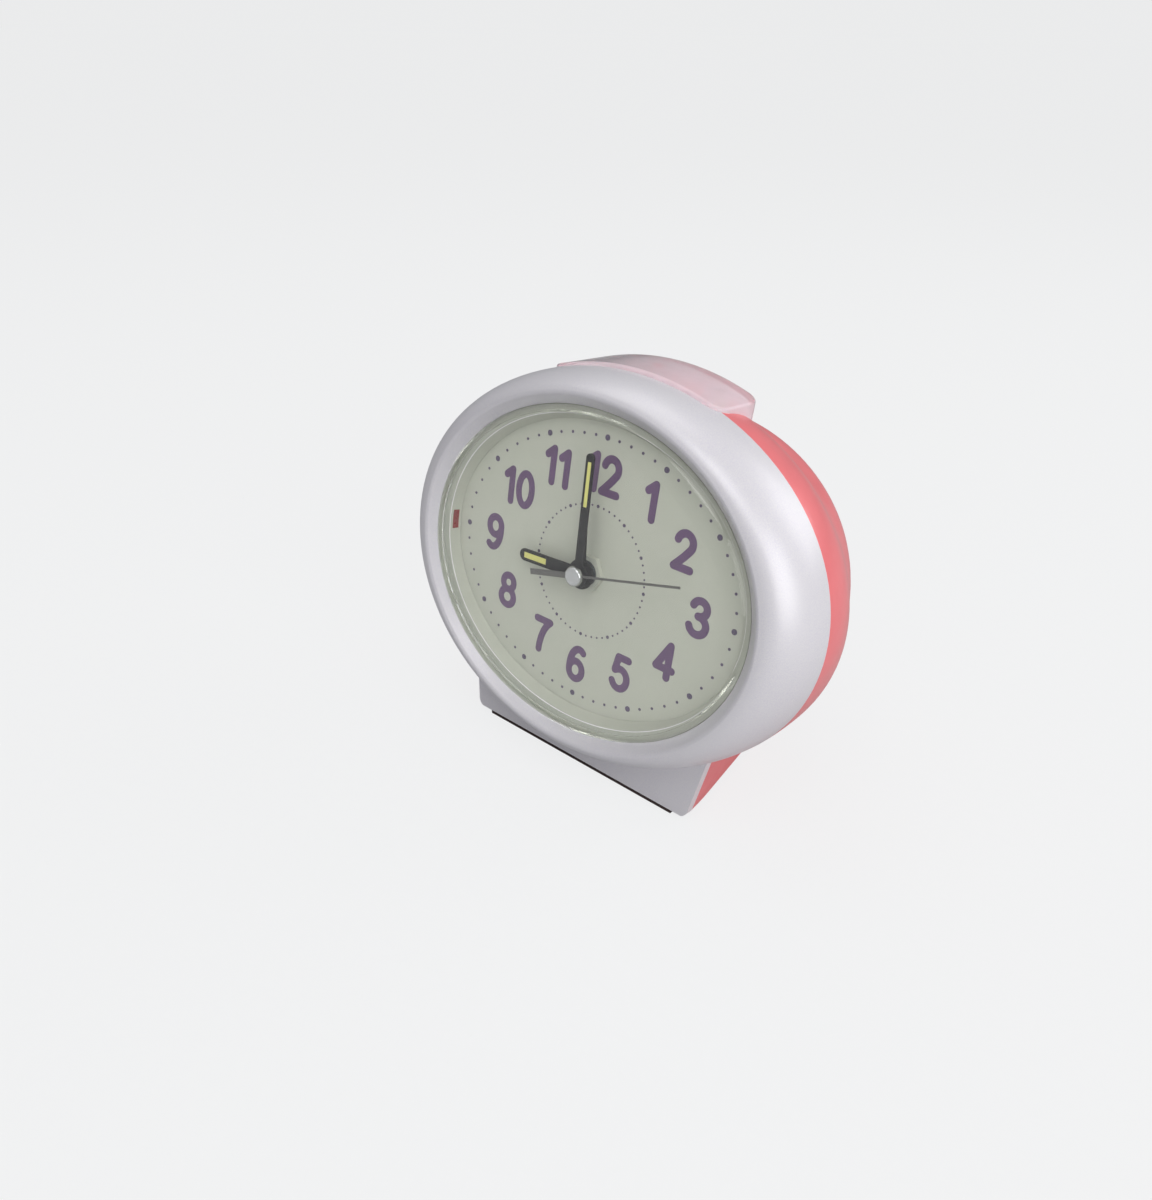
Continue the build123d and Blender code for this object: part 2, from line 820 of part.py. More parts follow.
# Rear shell: hollow back and foot with all its seats
with BuildPart() as rear_shell:
    add(rear_block.part)
    add(rear_hollow.part, mode=Mode.SUBTRACT)
    add(rear_inside_block.part)
    add(bar_pocket.part, mode=Mode.SUBTRACT)
    slab((0, bay_middle), 2 * bay_half_w, bay_tall, rear_depth + shell_wall, bay_front, Mode.SUBTRACT)
    add(door_opening.part, mode=Mode.SUBTRACT)
    for place in case_screw_places:
        drum(place, case_screw_r + thread_clear, head_depth, seam_depth, Mode.SUBTRACT)
        drum(place, case_head_r + head_clear, rear_depth, head_depth, Mode.SUBTRACT)
    for axis in knob_axes:
        drum(axis, knob_pocket_r, rear_depth + shell_wall, knob_floor, Mode.SUBTRACT)
        drum(axis, knob_stem_r + running_clear, knob_floor, knob_floor - knob_pocket_wall, Mode.SUBTRACT)
    drum(speaker_axis, speaker_r + speaker_clear, speaker_front, speaker_front - collar_deep, Mode.SUBTRACT)
    drum(speaker_axis, speaker_r - speaker_seat, rear_inside, speaker_front, Mode.SUBTRACT)
    with BuildSketch(behind(rear_depth)):
        with Locations(speaker_axis):
            Circle(grille_hole_r)
            for ring in range(1, grille_rings + 1):
                with PolarLocations(ring * grille_pitch, 6 * ring):
                    Circle(grille_hole_r)
    extrude(amount=shell_wall + speaker_clear, mode=Mode.SUBTRACT)
    for side in sides:
        slab(
            (side * slide_x, slide_y),
            slide_body_w + 2 * socket_clear,
            slide_body_l + 2 * socket_clear,
            rear_inside,
            slide_body_front,
            Mode.SUBTRACT,
        )
        slab(
            (side * slide_x, slide_y),
            slide_knob_w + 2 * slide_clear,
            slide_knob_l + 2 * (slide_travel + slide_clear),
            rear_depth,
            rear_inside,
            Mode.SUBTRACT,
        )
    button_hollow = switch_side + 2 * socket_clear
    slab(button_place, button_hollow, button_hollow, rear_inside, set_switch_front, Mode.SUBTRACT)
    drum(button_place, button_r + running_clear, rear_depth, rear_inside, Mode.SUBTRACT)
    guide_hole_r = bar_guide_r + running_clear
    for side in sides:
        upright(side * bar_guide_x, bar_guide_depth, guide_hole_r, board_high, bar_low, Mode.SUBTRACT)
    upright(0, plunger_depth, bar_finger_r + bar_finger_clear, board_high, bar_low, Mode.SUBTRACT)
    with BuildSketch(base_plane):
        for side in sides:
            with Locations(table_point(side * rear_pad_x, rear_pad_depth)):
                Circle(rear_pad_r)
    extrude(amount=pad_sunk, mode=Mode.SUBTRACT)

# Battery door: the piece of the rear wall that closes the bay
with BuildPart() as battery_door:
    slab(
        (0, door_middle),
        2 * (door_half_w - door_clear),
        door_tall - 2 * door_clear,
        rear_depth + shell_wall,
        door_start,
    )
    add(rear_block.part, mode=Mode.INTERSECT)
    rear_form(shell_wall, Mode.SUBTRACT)

# Lens: a rim in its seat, a rounded shoulder and a slightly crowned front
with BuildPart() as lens:
    lens_form(0)
    lens_form(lens_wall, Mode.SUBTRACT)

# Dial plate and the frame that holds it against its seat
with BuildPart() as dial_plate:
    extrude(oval(dial_thick, dial_show_half_w + dial_lap, dial_show_half_h + dial_lap), amount=dial_thick)
    drum((0, 0), bushing_r + dial_hole_clear, dial_thick, 0, Mode.SUBTRACT)

with BuildPart() as dial_frame:
    extrude(oval(frame_end, dial_show_half_w + frame_out, dial_show_half_h + frame_out), amount=frame_thick)
    for place in frame_screw_places:
        drum(place, frame_ear_r, frame_end, frame_start)
    frame_window = oval(frame_end, dial_show_half_w - frame_in, dial_show_half_h - frame_in)
    extrude(frame_window, amount=frame_thick, mode=Mode.SUBTRACT)
    lug_tall = abs(board_screw_y - frame_middle_y)
    for x, y in board_screw_places:
        slab((x, (y + frame_middle_y) / 2), 2 * board_post_r, lug_tall, frame_end, frame_start)
        drum((x, y), board_post_r, board_depth, frame_start)
        drum((x, y), small_thread_r, board_depth, board_thread_end, Mode.SUBTRACT)
    for place in frame_screw_places:
        drum(place, small_thread_r, frame_end, frame_start, Mode.SUBTRACT)

# Movement: case with its threaded bushing, cover, nut and motor coil
with BuildPart() as movement_case:
    movement_block(movement_split, movement_front, movement_size, movement_corner_r)
    inside = movement_size - 2 * movement_wall
    inside_corner = movement_corner_r - movement_wall
    movement_block(movement_split, movement_inside, inside, inside_corner, Mode.SUBTRACT)
    drum((0, 0), bushing_r, movement_front, bushing_front)
    drum((0, 0), alarm_pipe_r + running_clear, movement_inside, bushing_front, Mode.SUBTRACT)
    for axis in knob_axes:
        drum(axis, pivot_r + running_clear, movement_inside, pivot_end, Mode.SUBTRACT)

with BuildPart() as movement_cover:
    movement_block(movement_rear, movement_split, movement_size, movement_corner_r)
    movement_block(movement_back, movement_split, inside, inside_corner, Mode.SUBTRACT)
    for axis in knob_axes:
        drum(axis, arbor_r + running_clear, movement_rear, movement_back, Mode.SUBTRACT)
    drum((0, 0), second_shaft_r + running_clear, second_pivot_end, movement_back, Mode.SUBTRACT)

with BuildPart() as movement_nut:
    with BuildSketch(behind(0)):
        RegularPolygon(nut_across / 2, 6, major_radius=False)
        Circle(bushing_r + thread_clear, mode=Mode.SUBTRACT)
    extrude(amount=nut_thick)

with BuildPart() as motor_coil:
    sideways(1, -coil_half, coil_y, coil_depth, coil_r, 2 * coil_half)
    for side in sides:
        sideways(side, coil_half, coil_y, coil_depth, coil_cheek_r, coil_cheek_thick)

# Motion work and pipes
with BuildPart() as alarm_wheel:
    gear((0, 0), alarm_teeth, alarm_module, 0, alarm_gear_rear, alarm_gear_depth)
    drum((0, 0), alarm_pipe_r, alarm_gear_depth, alarm_pipe_front)
    drum((0, 0), hour_pipe_r + running_clear, alarm_gear_rear, alarm_pipe_front, Mode.SUBTRACT)

with BuildPart() as hour_wheel:
    gear((0, 0), hour_teeth, hour_module, 0, hour_gear_rear, hour_gear_depth)
    drum((0, 0), hour_pipe_r, hour_gear_depth, hour_pipe_front)
    drum((0, 0), minute_pipe_r + running_clear, hour_gear_rear, hour_pipe_front, Mode.SUBTRACT)

with BuildPart() as minute_arbor:
    gear((0, 0), pinion_teeth, minute_module, 0, minute_gear_rear, minute_gear_depth)
    drum((0, 0), minute_pipe_r, minute_arbor_end, minute_pipe_front)
    drum((0, 0), second_shaft_r + running_clear, minute_arbor_end, minute_pipe_front, Mode.SUBTRACT)

with BuildPart() as second_arbor:
    drum((0, 0), second_shaft_r, second_pivot_end - running_clear, second_shaft_front)
    drum((0, 0), second_gear_r, second_gear_depth + gear_thick, second_gear_depth)

with BuildPart() as motion_wheel:
    gear(time_axis, motion_teeth, minute_module, 180 / motion_teeth, minute_gear_rear, minute_gear_depth)
    pinion_turn = 180 / motion_pinion_teeth
    gear(time_axis, motion_pinion_teeth, hour_module, pinion_turn, minute_gear_depth, hour_gear_depth)
    drum(time_axis, pivot_r, hour_gear_depth, pivot_end + running_clear)
    drum(time_axis, arbor_r, arbor_end_depth, minute_gear_rear)

with BuildPart() as alarm_arbor:
    pinion_turn = 180 / alarm_pinion_teeth
    gear(alarm_axis, alarm_pinion_teeth, alarm_module, pinion_turn, alarm_gear_rear, alarm_gear_depth)
    drum(alarm_axis, pivot_r, alarm_gear_depth, pivot_end + running_clear)
    drum(alarm_axis, arbor_r, arbor_end_depth, alarm_gear_rear)

# Hands, their luminous inlays and the hub cap
with BuildPart() as alarm_hand:
    hand(alarm_hand_depth, alarm_angle, alarm_length, alarm_width, alarm_hub_r, alarm_pipe_r)

with BuildPart() as hour_hand:
    hand(hour_hand_depth, hour_angle, hour_length, hour_width, hour_hub_r, hour_pipe_r)
    hour_window = (hour_inlay_width, hour_inlay_length)
    inlay(hour_hand_depth, hour_angle, hour_inlay_middle, *hour_window, Mode.SUBTRACT)

with BuildPart() as hour_inlay:
    hour_inlay_size = (hour_inlay_width - 2 * inlay_gap, hour_inlay_length - 2 * inlay_gap)
    inlay(hour_hand_depth, hour_angle, hour_inlay_middle, *hour_inlay_size)

with BuildPart() as minute_hand:
    hand(minute_hand_depth, minute_angle, minute_length, minute_width, minute_hub_r, minute_pipe_r)
    minute_window = (minute_inlay_width, minute_inlay_length)
    inlay(minute_hand_depth, minute_angle, minute_inlay_middle, *minute_window, Mode.SUBTRACT)

with BuildPart() as minute_inlay:
    minute_inlay_size = (minute_inlay_width - 2 * inlay_gap, minute_inlay_length - 2 * inlay_gap)
    inlay(minute_hand_depth, minute_angle, minute_inlay_middle, *minute_inlay_size)

with BuildPart() as second_hand:
    with BuildSketch(hand_plane(second_hand_depth, second_angle)):
        Circle(second_hub_r)
        with Locations((0, second_length / 2)):
            Rectangle(second_width, second_length)
        with Locations((0, -second_tail / 2)):
            Rectangle(second_tail_width, second_tail)
        Circle(second_shaft_r, mode=Mode.SUBTRACT)
    extrude(amount=second_thick)

with BuildPart() as hub_cap:
    drum((0, 0), cap_r, second_shaft_front, second_shaft_front - cap_h)
    fillet(hub_cap.faces().sort_by(front_axis)[-1].edges(), cap_h * cap_round)

# Rear knobs with their long stems
for knob_name, axis in (("time_knob", time_axis), ("alarm_knob", alarm_axis)):
    with BuildPart() as knob:
        drum(axis, knob_r, knob_start + knob_h, knob_start)
        fillet(knob.faces().sort_by(front_axis)[0].edges(), knob_edge_r)
        with BuildSketch(behind(knob_start + knob_h)):
            with Locations(axis):
                with PolarLocations(knob_r, knob_grooves):
                    Circle(knob_groove_r)
        extrude(amount=knob_h, mode=Mode.SUBTRACT)
        drum(axis, knob_stem_r, knob_start, knob_stem_start)
        drum(axis, arbor_r, arbor_end_depth, knob_stem_start, Mode.SUBTRACT)
    pieces[knob_name] = knob.part

# Snooze bar: a clear hollow cap with guide posts and a finger for the switch
with BuildPart() as bar_cavity:
    loft(
        [
            arched(depth, cavity_half, *bar_ceiling(depth), bar_low - bar_wall, bar_low_end - bar_wall)
            for depth in (bar_front + bar_wall, bar_rear - bar_wall)
        ]
    )
    fillet(bar_cavity.edges().filter_by(up_axis), bar_corner_r - bar_wall)

with BuildPart() as snooze_bar:
    loft(
        [
            arched(bar_front, bar_half, bar_front_top, bar_front_end, bar_low, bar_low_end),
            arched(bar_rear, bar_half, bar_rear_top, bar_rear_end, bar_low, bar_low_end),
        ]
    )
    fillet(snooze_bar.edges().filter_by(up_axis), bar_corner_r)
    fillet(snooze_bar.faces().sort_by(up_axis)[-1].edges(), bar_edge_r)
    add(bar_cavity.part, mode=Mode.SUBTRACT)
    bar_thread_r = bar_screw_r + thread_clear
    for side in sides:
        guide_x = side * bar_guide_x
        upright(guide_x, bar_guide_depth, bar_guide_r, bar_head_top, guide_top)
        upright(guide_x, bar_guide_depth, bar_thread_r, bar_head_top, bar_screw_top, Mode.SUBTRACT)
    upright(0, plunger_depth, bar_finger_r, bar_finger_tip, finger_top)

with BuildPart() as bar_screws:
    for side in sides:
        upright(side * bar_guide_x, bar_guide_depth, bar_head_r, bar_head_top - bar_head_h, bar_head_top)
        upright(side * bar_guide_x, bar_guide_depth, bar_screw_r, bar_head_top, bar_screw_top)

with BuildPart() as bar_domes:
    for side in sides:
        with BuildSketch(behind(bar_guide_depth)) as dome_profile:
            with BuildLine():
                Polyline(
                    (side * bar_guide_x + dome_bore_r, dome_low),
                    (side * bar_guide_x + dome_low_r, dome_low),
                    (side * bar_guide_x + dome_top_r, dome_top),
                    (side * bar_guide_x + dome_bore_r, dome_top),
                    close=True,
                )
            make_face()
        guide_foot = dial_plane.from_local_coords(Vector(side * bar_guide_x, 0, -bar_guide_depth))
        revolve(dome_profile.sketch, axis=Axis(guide_foot, dial_plane.y_dir))

# Speech board with its chip and the switch under the bar
with BuildPart() as speech_board:
    slab((0, board_high - board_tall / 2), 2 * board_half_w, board_tall, board_rear, board_depth)
    for place in board_screw_places:
        drum(place, small_thread_r, board_rear, board_depth, Mode.SUBTRACT)

with BuildPart() as speech_chip:
    drum((chip_x, chip_y), chip_r, board_rear + chip_h, board_rear)
    fillet(speech_chip.faces().sort_by(front_axis)[0].edges(), chip_h / 2)

with BuildPart() as bar_switch:
    slab((0, board_high - switch_high / 2), switch_side, switch_high, board_rear + switch_side, board_rear)
    bar_bore_low = board_high - bar_plunger_room
    upright(0, plunger_depth, plunger_bore_r, bar_bore_low, board_high, Mode.SUBTRACT)

with BuildPart() as bar_switch_plunger:
    upright(0, plunger_depth, plunger_r, board_high - plunger_rooted, board_high + plunger_stick)

# Lamps that light the dial through slits in its wall
with BuildPart() as dial_lamps:
    for side in sides:
        sideways(side, lamp_start, 0, lamp_depth, lamp_r, lamp_long)
        sideways(side, lamp_start + lamp_long, 0, lamp_depth, lamp_flange_r, lamp_flange_h)

# Speaker
with BuildPart() as speaker_frame:
    drum(speaker_axis, speaker_r, speaker_front, speaker_front - speaker_flange)
    drum(speaker_axis, speaker_cup_r, speaker_front, speaker_back)
    cup_bore_r = speaker_cup_r - speaker_skin
    drum(speaker_axis, cup_bore_r, speaker_front, speaker_back + speaker_skin, Mode.SUBTRACT)

with BuildPart() as speaker_cone:
    cone_plane = Plane(
        origin=dial_plane.from_local_coords(Vector(*speaker_axis, 0)),
        x_dir=(1, 0, 0),
        z_dir=dial_plane.y_dir,
    )
    with BuildSketch(cone_plane) as cone_profile:
        with BuildLine():
            Polyline(
                (0, cone_back),
                (cone_neck_r, cone_back),
                (cone_r, cone_rim),
                (cone_r, cone_rim + cone_thick),
                (cone_neck_r, cone_back + cone_thick),
                (0, cone_back + cone_thick),
                close=True,
            )
        make_face()
    revolve(cone_profile.sketch, axis=Axis(cone_plane.origin, cone_plane.y_dir))

with BuildPart() as speaker_magnet:
    drum(speaker_axis, magnet_r, speaker_back, speaker_back - magnet_deep)

# Cells and their contacts
with BuildPart() as battery_cells:
    for cell_y, side in ((upper_cell_y, 1), (lower_cell_y, -1)):
        sideways(side, -cell_reach, cell_y, cell_depth, cell_r, cell_length)
        sideways(side, cell_reach - nub_length, cell_y, cell_depth, nub_r, nub_length)

with BuildPart() as battery_strap:
    contact_plate(-1, (upper_cell_y + lower_cell_y) / 2, upper_cell_y - lower_cell_y + 2 * contact_half)
    for cell_y in (upper_cell_y, lower_cell_y):
        sideways(-1, cell_reach, cell_y, cell_depth, contact_bump_r, contact_reach)

with BuildPart() as battery_terminals:
    for cell_y in (upper_cell_y, lower_cell_y):
        contact_plate(1, cell_y, 2 * contact_half)
        sideways(1, cell_reach, cell_y, cell_depth, contact_bump_r, contact_reach)

# Slide switches: alarm on one side, volume on the other
for switch_name, side in (("alarm_switch", -1), ("volume_switch", 1)):
    slide_place = (side * slide_x, slide_y)
    stem_run = slide_knob_l + 2 * (slide_travel + slide_clear)
    with BuildPart() as slide_body:
        slab(slide_place, slide_body_w, slide_body_l, rear_inside, slide_body_front)
        slab(
            slide_place,
            slide_stem_w + 2 * slide_clear,
            stem_run,
            rear_inside,
            rear_inside - slide_stem_deep - slide_stem_room,
            Mode.SUBTRACT,
        )
    pieces[switch_name + "_body"] = slide_body.part
    with BuildPart() as slide_knob:
        slide_step = rear_inside + slide_clear
        slab(slide_place, slide_knob_w, slide_knob_l, rear_depth + slide_knob_proud, slide_step)
        slab(slide_place, slide_stem_w, slide_knob_l, slide_step, rear_inside - slide_stem_deep)
    pieces[switch_name + "_slider"] = slide_knob.part

# Set button and its switch
with BuildPart() as set_button:
    drum(button_place, button_r, rear_depth + button_proud, button_flange_front)
    button_flange_rear = button_flange_front + button_flange_h
    drum(button_place, button_r + button_flange, button_flange_rear, button_flange_front)

with BuildPart() as set_switch:
    slab(button_place, switch_side, switch_side, set_switch_top, set_switch_front)
    set_bore_end = set_switch_top - set_plunger_room
    drum(button_place, plunger_bore_r, set_switch_top, set_bore_end, Mode.SUBTRACT)

with BuildPart() as set_switch_plunger:
    set_plunger_tip = set_switch_top + button_plunger_stick
    drum(button_place, plunger_r, set_plunger_tip, set_switch_top - plunger_rooted)

# Screws
with BuildPart() as case_screws:
    for place in case_screw_places:
        drum(place, case_head_r, head_depth + case_head_h, head_depth)
        drum(place, case_screw_r, head_depth, seam_depth - case_screw_reach + thread_clear)

with BuildPart() as frame_screws:
    for place in frame_screw_places:
        small_screw(place, frame_end, frame_thread_end + thread_clear)

with BuildPart() as board_screws:
    for place in board_screw_places:
        small_screw(place, board_rear, board_thread_end + thread_clear)

# Rubber feet
with BuildPart() as front_foot_strip:
    with BuildSketch(Plane.XY):
        with Locations(table_point(0, front_pad_depth)):
            Rectangle(2 * front_pad_half, front_pad_wide)
    extrude(amount=pad_proud + pad_sunk)

with BuildPart() as rear_foot_pads:
    with BuildSketch(Plane.XY):
        for side in sides:
            with Locations(table_point(side * rear_pad_x, rear_pad_depth)):
                Circle(rear_pad_r)
    extrude(amount=pad_proud + pad_sunk)

pieces.update(
    front_case=front_case.part,
    rear_shell=rear_shell.part,
    battery_door=battery_door.part,
    lens=lens.part,
    dial_plate=dial_plate.part,
    dial_frame=dial_frame.part,
    movement_case=movement_case.part,
    movement_cover=movement_cover.part,
    movement_nut=movement_nut.part,
    motor_coil=motor_coil.part,
    alarm_wheel=alarm_wheel.part,
    hour_wheel=hour_wheel.part,
    minute_arbor=minute_arbor.part,
    second_arbor=second_arbor.part,
    motion_wheel=motion_wheel.part,
    alarm_arbor=alarm_arbor.part,
    alarm_hand=alarm_hand.part,
    hour_hand=hour_hand.part,
    hour_inlay=hour_inlay.part,
    minute_hand=minute_hand.part,
    minute_inlay=minute_inlay.part,
    second_hand=second_hand.part,
    hub_cap=hub_cap.part,
    snooze_bar=snooze_bar.part,
    bar_screws=bar_screws.part,
    bar_domes=bar_domes.part,
    speech_board=speech_board.part,
    speech_chip=speech_chip.part,
    bar_switch=bar_switch.part,
    bar_switch_plunger=bar_switch_plunger.part,
    dial_lamps=dial_lamps.part,
    speaker_frame=speaker_frame.part,
    speaker_cone=speaker_cone.part,
    speaker_magnet=speaker_magnet.part,
    battery_cells=battery_cells.part,
    battery_strap=battery_strap.part,
    battery_terminals=battery_terminals.part,
    set_button=set_button.part,
    set_switch=set_switch.part,
    set_switch_plunger=set_switch_plunger.part,
    case_screws=case_screws.part,
    frame_screws=frame_screws.part,
    board_screws=board_screws.part,
    front_foot_strip=front_foot_strip.part,
    rear_foot_pads=rear_foot_pads.part,
)

# One file for each piece
os.makedirs("parts", exist_ok=True)
for name, piece in pieces.items():
    piece.label = name
    export_step(piece, f"parts/{name}.step")
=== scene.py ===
"""Looks of the oval talking clock: finishes, dial printing, small fittings, light and camera."""

import json
import math

import bmesh
import bpy
from mathutils import Matrix, Vector


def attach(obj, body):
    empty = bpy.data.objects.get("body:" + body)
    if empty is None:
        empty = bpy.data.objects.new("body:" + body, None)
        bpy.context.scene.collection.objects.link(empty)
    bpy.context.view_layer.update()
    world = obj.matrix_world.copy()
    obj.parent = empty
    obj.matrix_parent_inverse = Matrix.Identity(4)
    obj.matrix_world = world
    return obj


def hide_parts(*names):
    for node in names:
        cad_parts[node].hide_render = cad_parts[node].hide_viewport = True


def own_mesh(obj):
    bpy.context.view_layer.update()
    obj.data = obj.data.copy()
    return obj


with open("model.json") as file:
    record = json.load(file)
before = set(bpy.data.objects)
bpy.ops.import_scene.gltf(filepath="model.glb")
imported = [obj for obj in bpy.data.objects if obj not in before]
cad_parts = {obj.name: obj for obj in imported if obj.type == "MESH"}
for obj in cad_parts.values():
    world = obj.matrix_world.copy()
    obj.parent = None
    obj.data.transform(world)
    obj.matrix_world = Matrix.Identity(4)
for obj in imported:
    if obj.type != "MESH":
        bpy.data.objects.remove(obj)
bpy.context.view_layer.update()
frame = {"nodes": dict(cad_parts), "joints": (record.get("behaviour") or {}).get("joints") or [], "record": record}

MM = 0.001

# Dial frame: x to the right, v up the dial, depth towards the back, all in millimetres
hands_joint = next(j for j in frame["joints"] if j["name"] == "minute_turn")
DIAL_CENTRE = Vector(hands_joint["pos_m"])
FRONT = Vector(hands_joint["axis"]).normalized()
RIGHT = Vector((1, 0, 0))
UP = FRONT.cross(RIGHT).normalized()


def dial_point(x, v, depth):
    """Point of the part's frame, in metres, from dial coordinates in millimetres."""
    return DIAL_CENTRE + (RIGHT * x + UP * v - FRONT * depth) * MM


# Tools for materials, and the places of the colour sockets on a Mix node
MIX_COLOUR_FIRST = 6
MIX_COLOUR_SECOND = 7
MIX_COLOUR_RESULT = 2


def linear(red, green, blue):
    """Linear colour from display values of 0 to 255."""
    parts = []
    for value in (red, green, blue):
        share = value / 255
        parts.append(share / 12.92 if share <= 0.04045 else ((share + 0.055) / 1.055) ** 2.4)
    return (*parts, 1.0)


def tint(colour, share):
    """Colour made lighter or darker by a share."""
    return (*[min(1.0, c * (1 + share)) for c in colour[:3]], 1.0)


def fill(node, values):
    """Sets inputs of a node: an underscore in a name stands for a space."""
    for key, value in values.items():
        node.inputs[key.replace("_", " ")].default_value = value


def mix_shaders(tree, factor, first, second, output):
    """Sends an output the first shader where the factor is 0 and the second where it is 1."""
    mix = tree.nodes.new("ShaderNodeMixShader")
    tree.links.new(factor, mix.inputs["Fac"])
    tree.links.new(first, mix.inputs[1])
    tree.links.new(second, mix.inputs[2])
    tree.links.new(mix.outputs["Shader"], tree.nodes[output].inputs["Surface"])


class Finish:
    """A material in the making: one Principled shader and the nodes that feed it."""

    def __init__(self, name):
        self.material = bpy.data.materials.new(name)
        self.material.use_nodes = True
        self.tree = self.material.node_tree
        self.shader = self.tree.nodes["Principled BSDF"]
        self.place = self.tree.nodes.new("ShaderNodeTexCoord").outputs["Object"]

    def set(self, **values):
        """Sets inputs of the shader."""
        fill(self.shader, values)
        return self

    def node(self, kind, **values):
        """New node with some of its inputs set."""
        node = self.tree.nodes.new(kind)
        fill(node, values)
        return node

    def link(self, source, target):
        """Joins an output to an input."""
        self.tree.links.new(source, target)

    def noise(self, size_mm, detail=3.0, roughness=0.55):
        """Noise with features of about this size, as a factor from 0 to 1."""
        noise = self.node("ShaderNodeTexNoise", Scale=1 / (size_mm * MM), Detail=detail, Roughness=roughness)
        self.link(self.place, noise.inputs["Vector"])
        return noise.outputs["Fac"]

    def cells(self, size_mm, output="Color"):
        """Cell pattern with cells of about this size."""
        cells = self.node("ShaderNodeTexVoronoi", Scale=1 / (size_mm * MM))
        self.link(self.place, cells.inputs["Vector"])
        return cells.outputs[output]

    def span(self, factor, low, high, start=0.3, end=0.7):
        """Factor mapped from start..end to low..high."""
        span = self.node("ShaderNodeMapRange", From_Min=start, From_Max=end, To_Min=low, To_Max=high)
        self.link(factor, span.inputs["Value"])
        return span.outputs["Result"]

    def mix(self, factor, first, second):
        """Colour between two colours or colour outputs."""
        mix = self.node("ShaderNodeMix")
        mix.data_type = "RGBA"
        self.link(factor, mix.inputs["Factor"])
        for index, value in ((MIX_COLOUR_FIRST, first), (MIX_COLOUR_SECOND, second)):
            if isinstance(value, tuple):
                mix.inputs[index].default_value = value
            else:
                self.link(value, mix.inputs[index])
        return mix.outputs[MIX_COLOUR_RESULT]

    def wander(self, factor, first, second, most=1.0):
        """Colour that goes from the first towards the second as a noise factor rises."""
        return self.mix(self.span(factor, 0.0, most), first, second)

    def colour(self, output):
        """Feeds the shader's colour."""
        self.link(output, self.shader.inputs["Base Color"])

    def rough(self, factor, low, high):
        """Roughness from low to high as a noise factor rises."""
        self.link(self.span(factor, low, high), self.shader.inputs["Roughness"])

    def bump(self, height, depth_mm):
        """Relief of this depth from a height factor."""
        bump = self.node("ShaderNodeBump", Strength=1.0, Distance=depth_mm * MM)
        self.link(height, bump.inputs["Height"])
        self.link(bump.outputs["Normal"], self.shader.inputs["Normal"])

    def give_way(self, factor, other):
        """Mixes in another shader by a factor."""
        mix_shaders(self.tree, factor, self.shader.outputs["BSDF"], other, "Material Output")


# Finishes made alike: shade is a colour in display values, rough is the lowest and the highest roughness
PLASTICS = {
    "coral": {
        "shade": (250, 126, 130),
        "vary": 0.03,
        "rough": (0.31, 0.39),
        "grain_mm": 0.3,
        "relief_mm": 0.0015,
        "Coat_Weight": 0.35,
        "Coat_Roughness": 0.14,
    },
    "dark_hand": {"shade": (30, 28, 30), "vary": 0.12, "rough": (0.45, 0.55), "Specular_IOR_Level": 0.25},
    "frame_white": {"shade": (226, 226, 222)},
    "movement_grey": {"shade": (66, 68, 72), "vary": 0.08, "rough": (0.4, 0.55)},
    "gear_ivory": {"shade": (226, 218, 196)},
    "switch_black": {"shade": (34, 34, 37), "vary": 0.1, "rough": (0.35, 0.5)},
    "lamp_red": {"shade": (120, 26, 30), "vary": 0.1, "rough": (0.1, 0.2), "Coat_Weight": 0.6},
    "silicone": {"shade": (214, 208, 206), "Subsurface_Weight": 0.3, "Subsurface_Scale": 0.002},
    "control_white": {"shade": (232, 230, 230), "vary": 0.03, "rough": (0.3, 0.4)},
}
METALS = {
    "silver": {"shade": (190, 190, 191), "rough": (0.1, 0.2)},
    "hand_steel": {"shade": (112, 110, 108), "rough": (0.3, 0.42)},
    "brass": {"shade": (206, 168, 92), "rough": (0.18, 0.3)},
    "speaker_steel": {"shade": (168, 170, 174), "rough": (0.3, 0.45)},
    "magnet": {"shade": (92, 92, 96), "rough": (0.45, 0.6)},
    "steel": {"shade": (190, 191, 194), "rough": (0.22, 0.35)},
}
INKS = {
    "numeral_ink": {"shade": (84, 58, 92)},
    "dot_ink": {"shade": (74, 60, 86)},
}


def moulded(name, shade, vary=0.05, rough=(0.32, 0.42), grain_mm=0.25, relief_mm=0.004, **extra):
    """Moulded plastic: faint cloudiness, fine spark texture and uneven gloss."""
    finish = Finish(name)
    colour = linear(*shade)
    cloud = finish.noise(size_mm=9.0, detail=2.0)
    gloss = finish.noise(size_mm=4.0)
    grain = finish.noise(grain_mm, detail=1.0)
    finish.colour(finish.wander(cloud, tint(colour, -vary), tint(colour, vary)))
    finish.rough(gloss, *rough)
    finish.bump(grain, relief_mm)
    return finish.set(**extra)


def metal(name, shade, rough):
    """Plain metal with fine tumbled marks."""
    finish = Finish(name)
    colour = linear(*shade)
    marks = finish.noise(size_mm=0.25, detail=4.0, roughness=0.6)
    finish.colour(finish.wander(marks, tint(colour, share=-0.12), tint(colour, share=0.06)))
    finish.rough(marks, *rough)
    finish.bump(marks, depth_mm=0.002)
    return finish.set(Metallic=1.0)


def ink(name, shade):
    """Screen-printed ink: slightly uneven cover and a soft sheen."""
    finish = Finish(name)
    colour = linear(*shade)
    cover = finish.noise(size_mm=0.5, detail=4.0, roughness=0.65)
    tooth = finish.noise(size_mm=0.12, detail=2.0)
    finish.colour(finish.wander(cover, tint(colour, share=-0.14), tint(colour, share=0.14)))
    finish.rough(cover, low=0.38, high=0.52)
    finish.bump(tooth, depth_mm=0.004)
    return finish


